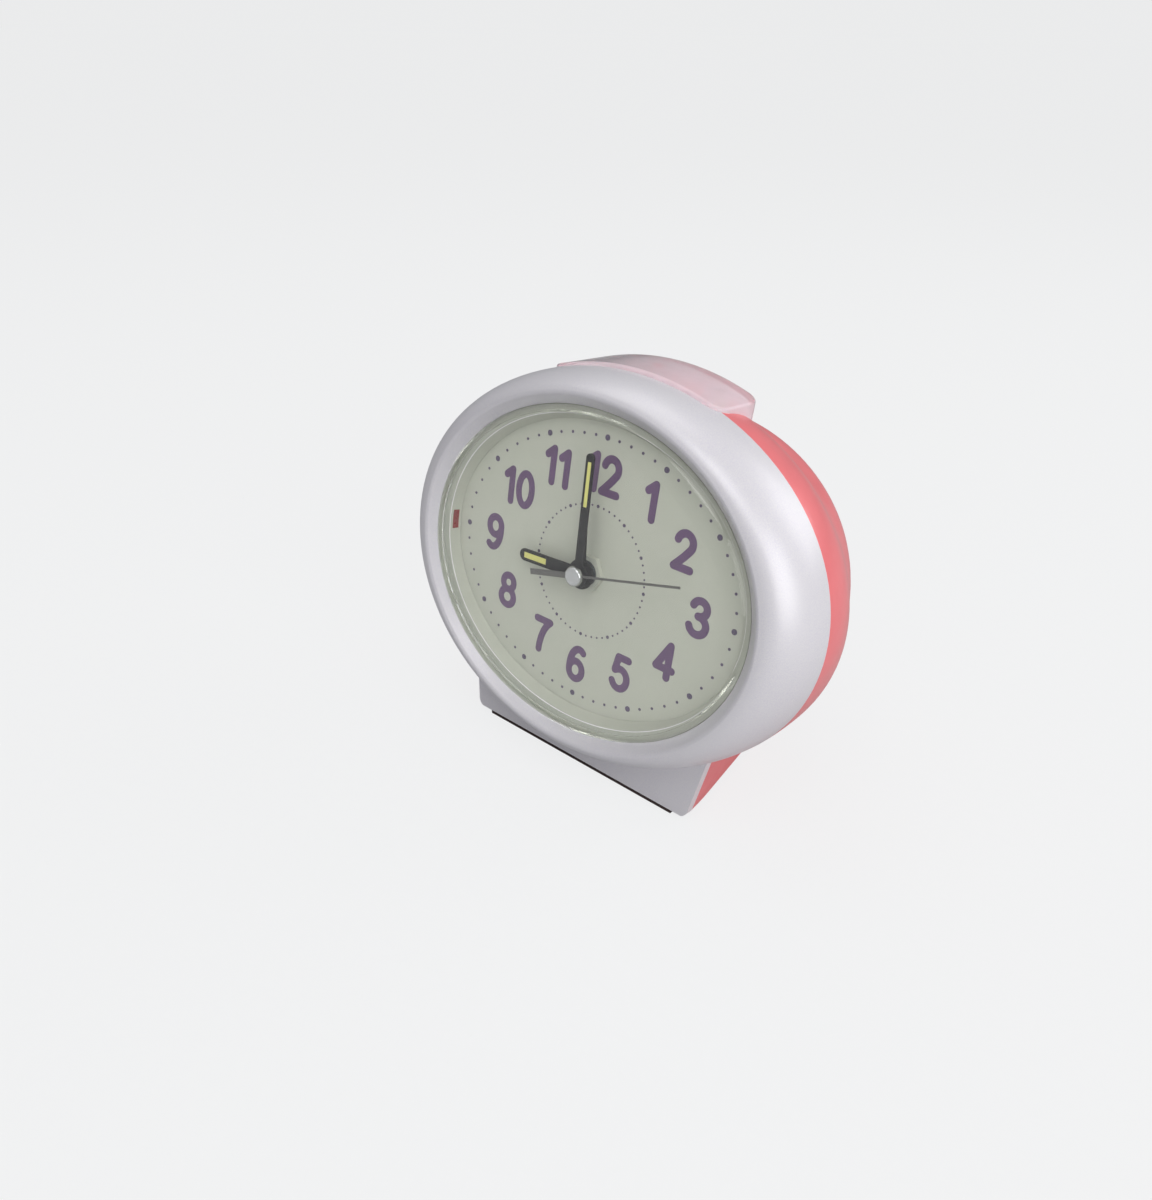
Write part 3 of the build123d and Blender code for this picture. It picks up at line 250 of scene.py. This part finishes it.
# Finishes with a make of their own: the lamp light that a clear piece lets through, the colour of the lens,
# the scale of the winding's wave texture, and where the copper-toned end of a battery starts along the width
LAMP_LIGHT_THROUGH = (0.93, 0.94, 0.94, 1)
LENS_COLOUR = (0.98, 0.99, 0.985, 1)
WINDING_WAVES = 2600.0
CELL_END_MM = 12.8
CELL_END_FADE_MM = 0.4


def pearl():
    """Pearl lacquer: mica flakes of slightly different tint and lean under a clear satin coat."""
    finish = Finish("pearl")
    flakes = finish.node("ShaderNodeSeparateColor")
    finish.link(finish.cells(size_mm=0.13), flakes.inputs["Color"])
    flake_colour = finish.mix(flakes.outputs["Red"], linear(225, 221, 231), linear(239, 236, 238))
    cloud = finish.noise(size_mm=14.0, detail=2.0)
    finish.colour(finish.wander(cloud, flake_colour, linear(233, 230, 234), most=0.6))
    finish.rough(flakes.outputs["Green"], low=0.34, high=0.42)
    finish.bump(flakes.outputs["Blue"], depth_mm=0.0006)
    return finish.set(Metallic=0.1, Coat_Weight=0.8, Coat_Roughness=0.36, Coat_IOR=1.5)


def lamps_through(finish):
    """Lets the light of lamps pass a clear piece."""
    path = finish.node("ShaderNodeLightPath")
    through = finish.node("ShaderNodeBsdfTransparent", Color=LAMP_LIGHT_THROUGH)
    finish.give_way(path.outputs["Is Shadow Ray"], through.outputs["BSDF"])
    return finish


def clear():
    """Thin clear acrylic with faint haze: a glossy skin that hardly bends the view."""
    finish = Finish("clear")
    haze = finish.noise(size_mm=6.0, detail=4.0)
    finish.rough(haze, low=0.0, high=0.02)
    finish.set(Base_Color=LENS_COLOUR, Transmission_Weight=1.0, IOR=1.06)
    finish.set(Coat_Weight=0.9, Coat_Roughness=0.02, Coat_IOR=1.49)
    return lamps_through(finish)


def milky():
    """Milky translucent plastic of the press bar."""
    finish = Finish("milky")
    cloud = finish.noise(size_mm=5.0)
    gloss = finish.noise(size_mm=2.0, detail=2.0)
    ripple = finish.noise(size_mm=3.0, detail=1.0)
    finish.colour(finish.wander(cloud, linear(240, 227, 232), linear(245, 234, 239)))
    finish.rough(gloss, low=0.32, high=0.38)
    finish.bump(ripple, depth_mm=0.002)
    finish.set(Transmission_Weight=0.65, IOR=1.2, Coat_Weight=1.0, Coat_Roughness=0.05)
    return lamps_through(finish)


def dial():
    """Pale green luminous print on card, with fine tooth."""
    finish = Finish("dial")
    fibre = finish.noise(size_mm=0.35, detail=5.0, roughness=0.7)
    wash = finish.noise(size_mm=12.0, detail=2.0)
    specks = finish.wander(fibre, linear(163, 165, 152), linear(171, 172, 160))
    finish.colour(finish.wander(wash, specks, linear(173, 172, 162), most=0.35))
    finish.rough(fibre, low=0.55, high=0.7)
    finish.bump(fibre, depth_mm=0.006)
    return finish


def lume():
    """Luminous paste: grainy and matt."""
    finish = Finish("lume")
    grain = finish.noise(size_mm=0.16, detail=4.0, roughness=0.7)
    finish.colour(finish.wander(grain, linear(186, 182, 97), linear(202, 199, 122)))
    finish.rough(grain, low=0.6, high=0.8)
    finish.bump(grain, depth_mm=0.02)
    return finish


def copper():
    """Copper winding: fine turns side by side along the width."""
    finish = Finish("copper")
    wave = finish.node("ShaderNodeTexWave", Scale=WINDING_WAVES, Distortion=0.3)
    wave.bands_direction = "X"
    finish.link(finish.place, wave.inputs["Vector"])
    turns = wave.outputs["Fac"]
    finish.colour(finish.mix(turns, linear(120, 58, 30), linear(205, 120, 75)))
    finish.rough(finish.noise(size_mm=0.6), low=0.25, high=0.4)
    finish.bump(turns, depth_mm=0.05)
    return finish.set(Metallic=0.9)


def board_green():
    """Circuit board: green mask over paler copper tracks."""
    finish = Finish("board_green")
    weave = finish.noise(size_mm=0.3)
    tracks = finish.cells(size_mm=2.2, output="Distance")
    track_share = finish.span(tracks, 0.0, 1.0, start=0.42, end=0.5)
    mask = finish.wander(weave, linear(24, 84, 48), linear(30, 98, 58))
    finish.colour(finish.mix(track_share, mask, linear(58, 130, 80)))
    finish.rough(weave, low=0.3, high=0.45)
    finish.bump(tracks, depth_mm=0.02)
    return finish


def cell_wrap():
    """Battery sleeve: dark wrap with a copper-toned end."""
    finish = Finish("cell_wrap")
    axes = finish.node("ShaderNodeSeparateXYZ")
    finish.link(finish.place, axes.inputs["Vector"])
    start = CELL_END_MM * MM
    end = (CELL_END_MM + CELL_END_FADE_MM) * MM
    end_share = finish.span(axes.outputs["X"], 0.0, 1.0, start, end)
    grain = finish.noise(size_mm=0.4)
    dark = finish.wander(grain, linear(34, 36, 40), linear(46, 48, 53))
    finish.colour(finish.mix(end_share, dark, linear(176, 120, 72)))
    finish.rough(grain, low=0.28, high=0.4)
    finish.bump(grain, depth_mm=0.01)
    return finish.set(Metallic=0.4)


def rubber_brown():
    """Dark brown rubber with a dusty matt skin."""
    finish = Finish("rubber_brown")
    dust = finish.noise(size_mm=0.7, detail=4.0, roughness=0.7)
    finish.colour(finish.wander(dust, linear(52, 36, 36), linear(74, 56, 54)))
    finish.rough(dust, low=0.62, high=0.8)
    finish.bump(finish.noise(size_mm=0.2), depth_mm=0.02)
    return finish


def cone_paper():
    """Pressed paper of the speaker cone, with fibres."""
    finish = Finish("cone_paper")
    fibre = finish.noise(size_mm=0.5, detail=6.0, roughness=0.75)
    finish.colour(finish.wander(fibre, linear(38, 36, 35), linear(66, 62, 58)))
    finish.rough(fibre, low=0.75, high=0.9)
    finish.bump(fibre, depth_mm=0.05)
    return finish


SURFACES = {
    "pearl": pearl,
    "clear": clear,
    "milky": milky,
    "dial": dial,
    "lume": lume,
    "copper": copper,
    "board_green": board_green,
    "cell_wrap": cell_wrap,
    "rubber_brown": rubber_brown,
    "cone_paper": cone_paper,
}
materials = {name: make().material for name, make in SURFACES.items()}
for make, finishes in ((moulded, PLASTICS), (metal, METALS), (ink, INKS)):
    for name, looks in finishes.items():
        materials[name] = make(name, **looks).material

# The thin second hand is a duller metal than the hub cap; the nut takes the colour of the dial around it
OWN_FINISH = {"second_hand": "hand_steel", "movement_nut": "dial"}

for part in frame["record"]["subparts"]:
    mesh = frame["nodes"][part["node"]].data
    mesh.materials.clear()
    mesh.materials.append(materials[OWN_FINISH.get(part["node"], part["material_slot"])])


# Tools for meshes
def piece(name, bm, material, body):
    """Object from a finished bmesh, riding on a body."""
    bmesh.ops.recalc_face_normals(bm, faces=bm.faces)
    mesh = bpy.data.meshes.new(name)
    bm.to_mesh(mesh)
    bm.free()
    mesh.materials.append(material)
    obj = bpy.data.objects.new(name, mesh)
    bpy.context.scene.collection.objects.link(obj)
    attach(obj, body)
    return obj


def full_turn(sides):
    """Angles of a full turn in even steps."""
    return [2 * math.pi * i / sides for i in range(sides)]


def oval_row(bm, half_w, half_h, depth, angles, middle=(0.0, 0.0)):
    """Row of vertices on an oval that lies along the dial."""
    row = []
    for angle in angles:
        x = middle[0] + half_w * math.cos(angle)
        v = middle[1] + half_h * math.sin(angle)
        row.append(bm.verts.new(dial_point(x, v, depth)))
    return row


def join_rows(bm, first, second, closed=True):
    """Band of faces between two rows of vertices, all the way round or from end to end."""
    count = len(first)
    for i in range(count if closed else count - 1):
        j = (i + 1) % count
        bm.faces.new((first[i], first[j], second[j], second[i]))


def add_skin(bm, rows, closed):
    """Skin over rows of vertices that go round a section; one that isn't closed gets a face at each end."""
    for first, second in zip(rows, rows[1:] + rows[:1]):
        join_rows(bm, first, second, closed)
    if not closed:
        for i in (0, -1):
            bm.faces.new([row[i] for row in rows])


# Dial printing, in millimetres
PRINT_PROUD = 0.05
PRINT_SUNK = 0.02
NUMERAL_TALL = 10.9
NUMERAL_WIDE = 7.0
STROKE = 2.1
STROKE_STEP = 0.012
PAIR_GAP = 0.5
PAIR_GAP_ONES = 0.6
NUMERAL_PLACES = {
    1: (15.6, 23.8),
    2: (27.6, 14.8),
    3: (35.0, -0.2),
    4: (27.5, -14.7),
    5: (14.8, -23.8),
    6: (-0.1, -27.0),
    7: (-13.2, -23.4),
    8: (-27.6, -15.0),
    9: (-34.7, 0.2),
    10: (-27.5, 15.2),
    11: (-15.1, 24.4),
    12: (0.4, 26.5),
}
TRACK_HALF_W = 44.9
TRACK_HALF_H = 35.8
HOUR_DOT_R = 0.78
MINUTE_DOT_R = 0.4
RING_R = 17.9
RING_HOUR_DOT_R = 0.46
RING_DOT_R = 0.28

# Steps of the print's round lines, and the degrees at which a stroke's round end has points
ARC_STEPS = 14
OVAL_STEPS = 40
RUN_STEPS = 2
DOT_SIDES = 20
END_ANGLES = (80, 60, 40, 20)


def add_plate(bm, left, right, closed, proud):
    """Thin plate on the dial, this proud of it, between two edges given as rows of dial points."""
    rows = []
    for edge, depth in ((left, -proud), (right, -proud), (right, PRINT_SUNK), (left, PRINT_SUNK)):
        rows.append([bm.verts.new(dial_point(x, v, depth)) for x, v in edge])
    add_skin(bm, rows, closed)


def add_stroke(bm, points, closed, proud):
    """Printed stroke of even width along a line of dial points, with round ends."""
    half = STROKE / 2
    count = len(points)
    left = []
    right = []
    for i, (x, v) in enumerate(points):
        before = points[i - 1] if closed or i > 0 else points[i]
        after = points[(i + 1) % count] if closed or i < count - 1 else points[i]
        ahead = Vector((after[0] - before[0], after[1] - before[1])).normalized()
        left.append((x - ahead.y * half, v + ahead.x * half))
        right.append((x + ahead.y * half, v - ahead.x * half))
    if not closed:
        left, right = rounded_ends(points, left, right, half)
    add_plate(bm, left, right, closed, proud)


def rounded_ends(points, left, right, half):
    """Edges of a stroke with a half round added at each end."""
    outward = (Vector(points[0]) - Vector(points[1])).normalized()
    head = [cap_pair(points[0], outward, half, a) for a in END_ANGLES]
    outward = (Vector(points[-1]) - Vector(points[-2])).normalized()
    tail = [cap_pair(points[-1], -outward, half, a, side=-1) for a in reversed(END_ANGLES)]
    new_left = [pair[0] for pair in head] + left + [pair[0] for pair in tail]
    new_right = [pair[1] for pair in head] + right + [pair[1] for pair in tail]
    return new_left, new_right


def cap_pair(end, outward, half, angle, side=1):
    """Left and right points of a round end, this many degrees round from the stroke's side."""
    out = math.sin(math.radians(angle)) * half * side
    wide = math.cos(math.radians(angle)) * half
    across = Vector((outward.y, -outward.x))
    middle = Vector(end) + outward * out
    return tuple(middle + across * wide), tuple(middle - across * wide)


def arc(cx, cy, rx, ry, start, end, steps=ARC_STEPS):
    """Points of an elliptic arc in degrees, counter-clockwise from the right."""
    points = []
    for i in range(steps + 1):
        angle = math.radians(start + (end - start) * i / steps)
        points.append((cx + rx * math.cos(angle), cy + ry * math.sin(angle)))
    return points


def oval(cx, cy, rx, ry):
    """Closed ellipse without a doubled end point."""
    return arc(cx, cy, rx, ry, 0, 360, OVAL_STEPS)[:-1]


def run(start, end):
    """Points of a straight run."""
    (ax, ay), (bx, by) = start, end
    shares = [i / RUN_STEPS for i in range(RUN_STEPS + 1)]
    return [(ax + (bx - ax) * share, ay + (by - ay) * share) for share in shares]


# Strokes of each digit in a box of 1 by 1: rows of points, and whether the row is closed
ONE_WIDE = 0.42
DIGITS = {
    "0": [(oval(0.5, 0.5, 0.48, 0.5), True)],
    "1": [
        (run((0.0, 0.8), (ONE_WIDE, 1.0)), False),
        (run((ONE_WIDE, 1.0), (ONE_WIDE, 0.0)), False),
    ],
    "2": [
        (arc(0.48, 0.72, 0.46, 0.28, 168, -28) + [(0.55, 0.34), (0.22, 0.13), (0.0, 0.0)], False),
        (run((0.0, 0.0), (0.98, 0.0)), False),
    ],
    "3": [
        (arc(0.46, 0.77, 0.42, 0.23, 165, -80) + [(0.42, 0.54)], False),
        ([(0.42, 0.54)] + arc(0.46, 0.27, 0.5, 0.27, 75, -165), False),
    ],
    "4": [
        (run((0.74, 1.0), (0.0, 0.26)), False),
        (run((0.0, 0.26), (1.0, 0.26)), False),
        (run((0.74, 1.0), (0.74, 0.0)), False),
    ],
    "5": [
        (run((0.9, 1.0), (0.24, 1.0)), False),
        (run((0.24, 1.0), (0.1, 0.56)), False),
        ([(0.1, 0.56)] + arc(0.46, 0.32, 0.5, 0.32, 118, -155), False),
    ],
    "6": [
        (oval(0.5, 0.29, 0.46, 0.29), True),
        (arc(0.62, 0.4, 0.58, 0.6, 62, 180), False),
    ],
    "7": [
        (run((0.02, 1.0), (1.0, 1.0)), False),
        (arc(1.55, -0.05, 1.2, 1.19, 118, 178), False),
    ],
    "8": [
        (oval(0.5, 0.765, 0.4, 0.235), True),
        (oval(0.5, 0.27, 0.48, 0.27), True),
    ],
    "9": [
        (oval(0.5, 0.71, 0.46, 0.29), True),
        (arc(0.38, 0.6, 0.58, 0.6, 0, -118), False),
    ],
}


def digit_width(digit):
    """Width of a digit's middle line, in the digit box's own units."""
    return ONE_WIDE if digit == "1" else 1.0


def add_numeral(bm, number, place):
    """Number printed around its place on the dial; strokes that cross lie one over the other."""
    wide = NUMERAL_WIDE - STROKE
    tall = NUMERAL_TALL - STROKE
    digits = str(number)
    gap = STROKE + (PAIR_GAP_ONES if digits == "11" else PAIR_GAP)
    total = sum(digit_width(d) for d in digits) * wide + gap * (len(digits) - 1)
    x = place[0] - total / 2
    for digit in digits:
        for index, (points, closed) in enumerate(DIGITS[digit]):
            line = [(x + u * wide, place[1] + (w - 0.5) * tall) for u, w in points]
            add_stroke(bm, line, closed, PRINT_PROUD + STROKE_STEP * index)
        x += digit_width(digit) * wide + gap


numerals = bmesh.new()
for number, place in NUMERAL_PLACES.items():
    add_numeral(numerals, number, place)
piece("dial_numerals", numerals, materials["numeral_ink"], "clock")

# Dotted ovals of the dial
MINUTES = 60
MINUTES_BETWEEN_HOURS = 5


def add_dot(bm, middle, radius):
    """Printed round dot."""
    turn = full_turn(DOT_SIDES)
    top = oval_row(bm, radius, radius, -PRINT_PROUD, turn, middle)
    low = oval_row(bm, radius, radius, PRINT_SUNK, turn, middle)
    bm.faces.new(top)
    bm.faces.new(low[::-1])
    join_rows(bm, low, top)


def ray_on_oval(angle, half_w, half_h):
    """Point where the ray at this angle, clockwise from twelve, meets an oval."""
    sine = math.sin(math.radians(angle))
    cosine = math.cos(math.radians(angle))
    reach = 1 / math.hypot(sine / half_w, cosine / half_h)
    return reach * sine, reach * cosine


def dotted_oval(name, half_w, half_h, hour_radius, minute_radius):
    """Piece of printed dots, one for each minute and larger ones at the hours."""
    dots = bmesh.new()
    for minute in range(MINUTES):
        radius = hour_radius if minute % MINUTES_BETWEEN_HOURS == 0 else minute_radius
        add_dot(dots, ray_on_oval(360 / MINUTES * minute, half_w, half_h), radius)
    piece(name, dots, materials["dot_ink"], "clock")


dotted_oval("minute_track", TRACK_HALF_W, TRACK_HALF_H, HOUR_DOT_R, MINUTE_DOT_R)
dotted_oval("alarm_ring", RING_R, RING_R, RING_HOUR_DOT_R, RING_DOT_R)

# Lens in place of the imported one, with a finer mesh so that the dial shows undistorted, in millimetres
LENS_HALF_W = 51.9
LENS_HALF_H = 43.2
LENS_RIM_REAR = -3.56
LENS_RIM_FRONT = -5.4
LENS_WALL = 1.8
LENS_SHOULDER_IN = 7.6
LENS_SHOULDER_RISE = 3.6
LENS_CROWN_RISE = 1.3
LENS_SIDES = 240
SHOULDER_STEPS = 18
CROWN_STEPS = 18


def lens_rows(inset):
    """Half width, half height and depth of the lens's rings from the rim inwards, and its middle's depth."""
    half_w = LENS_HALF_W - inset
    half_h = LENS_HALF_H - inset
    rise = LENS_SHOULDER_RISE - inset
    rows = [(half_w, half_h, LENS_RIM_REAR)]
    for step in range(SHOULDER_STEPS + 1):
        angle = math.pi / 2 * step / SHOULDER_STEPS
        pull = LENS_SHOULDER_IN * (1 - math.cos(angle))
        rows.append((half_w - pull, half_h - pull, LENS_RIM_FRONT - rise * math.sin(angle)))
    top_w = half_w - LENS_SHOULDER_IN
    top_h = half_h - LENS_SHOULDER_IN
    for step in range(1, CROWN_STEPS):
        share = 1 - step / CROWN_STEPS
        lift = rise + LENS_CROWN_RISE * (1 - share**2)
        rows.append((top_w * share, top_h * share, LENS_RIM_FRONT - lift))
    return rows, LENS_RIM_FRONT - rise - LENS_CROWN_RISE


def add_lens_skin(bm, inset):
    """One skin of the lens: rings of faces closed by a fan; gives back its rim."""
    rows, middle_depth = lens_rows(inset)
    rings = [oval_row(bm, *row, full_turn(LENS_SIDES)) for row in rows]
    for low, high in zip(rings, rings[1:]):
        join_rows(bm, low, high)
    last = rings[-1]
    middle = bm.verts.new(dial_point(0, 0, middle_depth))
    for i in range(LENS_SIDES):
        bm.faces.new((last[i], last[(i + 1) % LENS_SIDES], middle))
    return rings[0]


lens_bm = bmesh.new()
outer_rim = add_lens_skin(lens_bm, inset=0)
inner_rim = add_lens_skin(lens_bm, inset=LENS_WALL)
join_rows(lens_bm, inner_rim, outer_rim)
for face in lens_bm.faces:
    face.smooth = True
for rim in (outer_rim, inner_rim):
    for i in range(LENS_SIDES):
        lens_bm.edges.get((rim[i], rim[(i + 1) % LENS_SIDES])).smooth = False
lens = piece("clear_lens", lens_bm, materials["clear"], "clock")
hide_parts("lens")

# Liner of the sloping wall round the dial, in millimetres: half width, half height and depth of its lower
# and upper edge, and the shares of the way up where its bands end; the middle band is open at the lamp slits
LINER_LOW = (48.7, 39.2, 0.0)
LINER_HIGH = (49.6, 40.9, -3.4)
LINER_SHARES = (0.03, 0.2, 0.76, 0.97)
LINER_STAND = 0.02
LINER_THICK = 0.12
LINER_SIDES = 240
SLIT_HALF = 2.75


def liner_point(angle, share, lift):
    """Point on the sloping wall, a share of the way up it, lifted off it."""
    half_w, half_h, depth = [low + (high - low) * share for low, high in zip(LINER_LOW, LINER_HIGH)]
    return dial_point((half_w - lift) * math.cos(angle), (half_h - lift) * math.sin(angle), depth)


def add_liner_band(bm, low_share, high_share, angles, closed):
    """Thin band on the sloping wall along a row of angles."""
    back = LINER_STAND
    front = LINER_STAND + LINER_THICK
    rows = []
    for share, lift in ((low_share, back), (high_share, back), (high_share, front), (low_share, front)):
        rows.append([bm.verts.new(liner_point(angle, share, lift)) for angle in angles])
    add_skin(bm, rows, closed)


def turned(angles, turn):
    """Angles turned on by an angle."""
    return [angle + turn for angle in angles]


slit_angle = math.asin(SLIT_HALF / LINER_LOW[1])
upper_turn = [slit_angle + (math.pi - 2 * slit_angle) * i / LINER_SIDES for i in range(LINER_SIDES + 1)]
low_edge, slit_low, slit_high, high_edge = LINER_SHARES
liner_bm = bmesh.new()
add_liner_band(liner_bm, low_edge, slit_low, full_turn(LINER_SIDES), closed=True)
for turn in (0, math.pi):
    add_liner_band(liner_bm, slit_low, slit_high, turned(upper_turn, turn), closed=False)
add_liner_band(liner_bm, slit_high, high_edge, full_turn(LINER_SIDES), closed=True)
piece("dial_liner", liner_bm, materials["dial"], "clock")

# Dark red windows over the two lamp slits, in millimetres and shares of the way up the wall
WINDOW_HALF = 2.72
WINDOW_LOW = 0.22
WINDOW_HIGH = 0.74
WINDOW_STEPS = 12
window_angle = math.asin(WINDOW_HALF / LINER_LOW[1])
window_turn = [window_angle * (2 * i / WINDOW_STEPS - 1) for i in range(WINDOW_STEPS + 1)]
windows_bm = bmesh.new()
for turn in (0, math.pi):
    add_liner_band(windows_bm, WINDOW_LOW, WINDOW_HIGH, turned(window_turn, turn), closed=False)
piece("lamp_windows", windows_bm, materials["lamp_red"], "clock")

# Thin gasket under and round the rim of the lens, in millimetres; it takes the dial's colour as a painted view of
# the dial bent through the lens's shoulder, which the lens itself hardly bends
GASKET_INNER = (49.7, 41.0)
GASKET_REAR = -3.42
GASKET_GAP_REAR = 0.02
GASKET_GAP_ROUND = 0.04
GASKET_WALL = 0.08


def gasket_section():
    """Half width, half height and depth of each corner of the gasket's section."""
    near = (LENS_HALF_W + GASKET_GAP_ROUND, LENS_HALF_H + GASKET_GAP_ROUND)
    far = (near[0] + GASKET_WALL, near[1] + GASKET_WALL)
    seat = LENS_RIM_REAR + GASKET_GAP_REAR
    return (
        (*GASKET_INNER, GASKET_REAR),
        (*far, GASKET_REAR),
        (*far, LENS_RIM_FRONT),
        (*near, LENS_RIM_FRONT),
        (*near, seat),
        (*GASKET_INNER, seat),
    )


gasket_bm = bmesh.new()
gasket_rows = [oval_row(gasket_bm, *corner, full_turn(LINER_SIDES)) for corner in gasket_section()]
add_skin(gasket_bm, gasket_rows, closed=True)
# Dial colour on the gasket: painted refraction of the dial in the lens's shoulder
piece("lens_gasket_painted_refraction", gasket_bm, materials["dial"], "clock")

# Finger ribs on the battery door, in millimetres
REAR_DEPTH = 57.0
RIB_PLACES = (-13.4, -15.8, -18.2)
RIB_HALF_LONG = 8.0
RIB_HALF_WIDE = 0.6
RIB_PROUD = 0.55
RIB_SUNK = 0.2
RIB_ARC_STEPS = 10


def rib_rows():
    """Height, depth and half length of the lines along a rib, from its upper foot to its lower one."""
    straight = RIB_HALF_LONG - RIB_HALF_WIDE
    rows = [(RIB_HALF_WIDE, REAR_DEPTH - RIB_SUNK, straight)]
    for step in range(RIB_ARC_STEPS + 1):
        angle = math.pi * step / RIB_ARC_STEPS
        reach = straight + RIB_HALF_WIDE * math.sin(angle)
        rows.append((RIB_HALF_WIDE * math.cos(angle), REAR_DEPTH + RIB_PROUD * math.sin(angle), reach))
    rows.append((-RIB_HALF_WIDE, REAR_DEPTH - RIB_SUNK, straight))
    return rows


def add_rib(bm, v):
    """Half-round rib with rounded ends on the rear face, lying along the width."""
    left = [bm.verts.new(dial_point(-reach, v + across, depth)) for across, depth, reach in rib_rows()]
    right = [bm.verts.new(dial_point(reach, v + across, depth)) for across, depth, reach in rib_rows()]
    join_rows(bm, left, right)
    bm.faces.new(left)
    bm.faces.new(right[::-1])


ribs = bmesh.new()
for place in RIB_PLACES:
    add_rib(ribs, place)
piece("door_ribs", ribs, materials["coral"], "door")

# The return domes get a mesh of their own
domes = frame["nodes"]["bar_domes"]
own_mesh(domes)

# Floor and world, in metres: the floor's paper, the pale ground that it is seen as, and the light all round
FLOOR_RADIUS = 40.0
FLOOR_SIDES = 96
FLOOR_DARK = (0.51, 0.515, 0.52, 1)
FLOOR_LIGHT = (0.53, 0.535, 0.54, 1)
GROUND_COLOUR = (0.98, 0.985, 0.99, 1)
GROUND_GLOW = 0.82
WORLD_COLOUR = (0.90, 0.92, 0.95, 1)
WORLD_LIGHT = 0.28
WORLD_SEEN = (0.828, 0.833, 0.838, 1)


def seen_rays(tree):
    """Factor of 1 for what is seen straight or through clear pieces, and 0 for all other light."""
    path = tree.nodes.new("ShaderNodeLightPath")
    seen = tree.nodes.new("ShaderNodeMath")
    seen.operation = "MAXIMUM"
    tree.links.new(path.outputs["Is Camera Ray"], seen.inputs[0])
    tree.links.new(path.outputs["Is Transmission Ray"], seen.inputs[1])
    return seen.outputs["Value"]


def floor_finish():
    """Pale paper floor that keeps the shadow and reads as a pale ground."""
    finish = Finish("floor")
    grain = finish.noise(size_mm=3.0)
    finish.colour(finish.wander(grain, FLOOR_DARK, FLOOR_LIGHT))
    finish.set(Roughness=0.9, Specular_IOR_Level=0.2)
    glow = finish.node("ShaderNodeEmission", Color=GROUND_COLOUR, Strength=1.0)
    share = finish.node("ShaderNodeMath")
    share.operation = "MULTIPLY"
    share.inputs[1].default_value = GROUND_GLOW
    finish.link(seen_rays(finish.tree), share.inputs[0])
    finish.give_way(share.outputs["Value"], glow.outputs["Emission"])
    return finish.material


floor_bm = bmesh.new()
bmesh.ops.create_circle(floor_bm, cap_ends=True, segments=FLOOR_SIDES, radius=FLOOR_RADIUS)
floor_mesh = bpy.data.meshes.new("floor")
floor_bm.to_mesh(floor_mesh)
floor_bm.free()
floor_mesh.materials.append(floor_finish())
floor = bpy.data.objects.new("floor", floor_mesh)
bpy.context.scene.collection.objects.link(floor)


def studio_world():
    """Soft even light from all round, seen as the same pale ground as the floor."""
    world = bpy.data.worlds.new("studio")
    world.use_nodes = True
    tree = world.node_tree
    light = tree.nodes["Background"]
    fill(light, {"Color": WORLD_COLOUR, "Strength": WORLD_LIGHT})
    ground = tree.nodes.new("ShaderNodeBackground")
    fill(ground, {"Color": WORLD_SEEN})
    shaders = (light.outputs["Background"], ground.outputs["Background"])
    mix_shaders(tree, seen_rays(tree), *shaders, "World Output")
    return world


bpy.context.scene.world = studio_world()

# Soft lamps, aimed at the middle of the clock: place and size in metres, power in watts
LAMP_TARGET = Vector((0, -0.01, 0.06))
LAMPS = {
    "key": {"place": (0.25, -0.50, 1.0), "size": (0.6, 0.6), "power": 2.6},
    "window": {"place": (0.78, -0.26, 0.38), "size": (0.65, 0.65), "power": 3.5},
    "top": {"place": (-0.35, 0.1, 1.0), "size": (0.9, 0.6), "power": 2.0},
    "rear": {"place": (0.55, 0.75, 0.55), "size": (0.6, 0.6), "power": 2.2},
}


def soft_lamp(name, place, size, power):
    """Rectangular soft lamp."""
    lamp = bpy.data.lights.new(name, "AREA")
    lamp.shape = "RECTANGLE"
    lamp.size, lamp.size_y = size
    lamp.energy = power
    obj = bpy.data.objects.new(name, lamp)
    obj.location = place
    obj.rotation_euler = (LAMP_TARGET - Vector(place)).to_track_quat("-Z", "Y").to_euler()
    bpy.context.scene.collection.objects.link(obj)


for name, looks in LAMPS.items():
    soft_lamp(name, **looks)

# Camera of the photograph: place in metres, direction of view, roll in degrees, focal length in pixels
CAMERA_PLACE = Vector((0.14661, -0.19862, 0.18332))
CAMERA_AHEAD = Vector((-0.564595, 0.656617, -0.500087)).normalized()
CAMERA_ROLL = 0.67
CAMERA_NEAREST = 0.01
FOCAL_PX = 992.1
FRAME_LONG_PX = 1200
SENSOR_MM = 36.0

camera_data = bpy.data.cameras.new("camera")
camera_data.sensor_width = SENSOR_MM
camera_data.lens = SENSOR_MM * FOCAL_PX / FRAME_LONG_PX
camera_data.clip_start = CAMERA_NEAREST
camera = bpy.data.objects.new("camera", camera_data)
aim = CAMERA_AHEAD.to_track_quat("-Z", "Y").to_matrix().to_4x4()
roll = Matrix.Rotation(math.radians(CAMERA_ROLL), 4, "Z")
camera.matrix_world = Matrix.Translation(CAMERA_PLACE) @ aim @ roll
bpy.context.scene.collection.objects.link(camera)
bpy.context.scene.camera = camera
bpy.context.scene.view_settings.view_transform = "Standard"
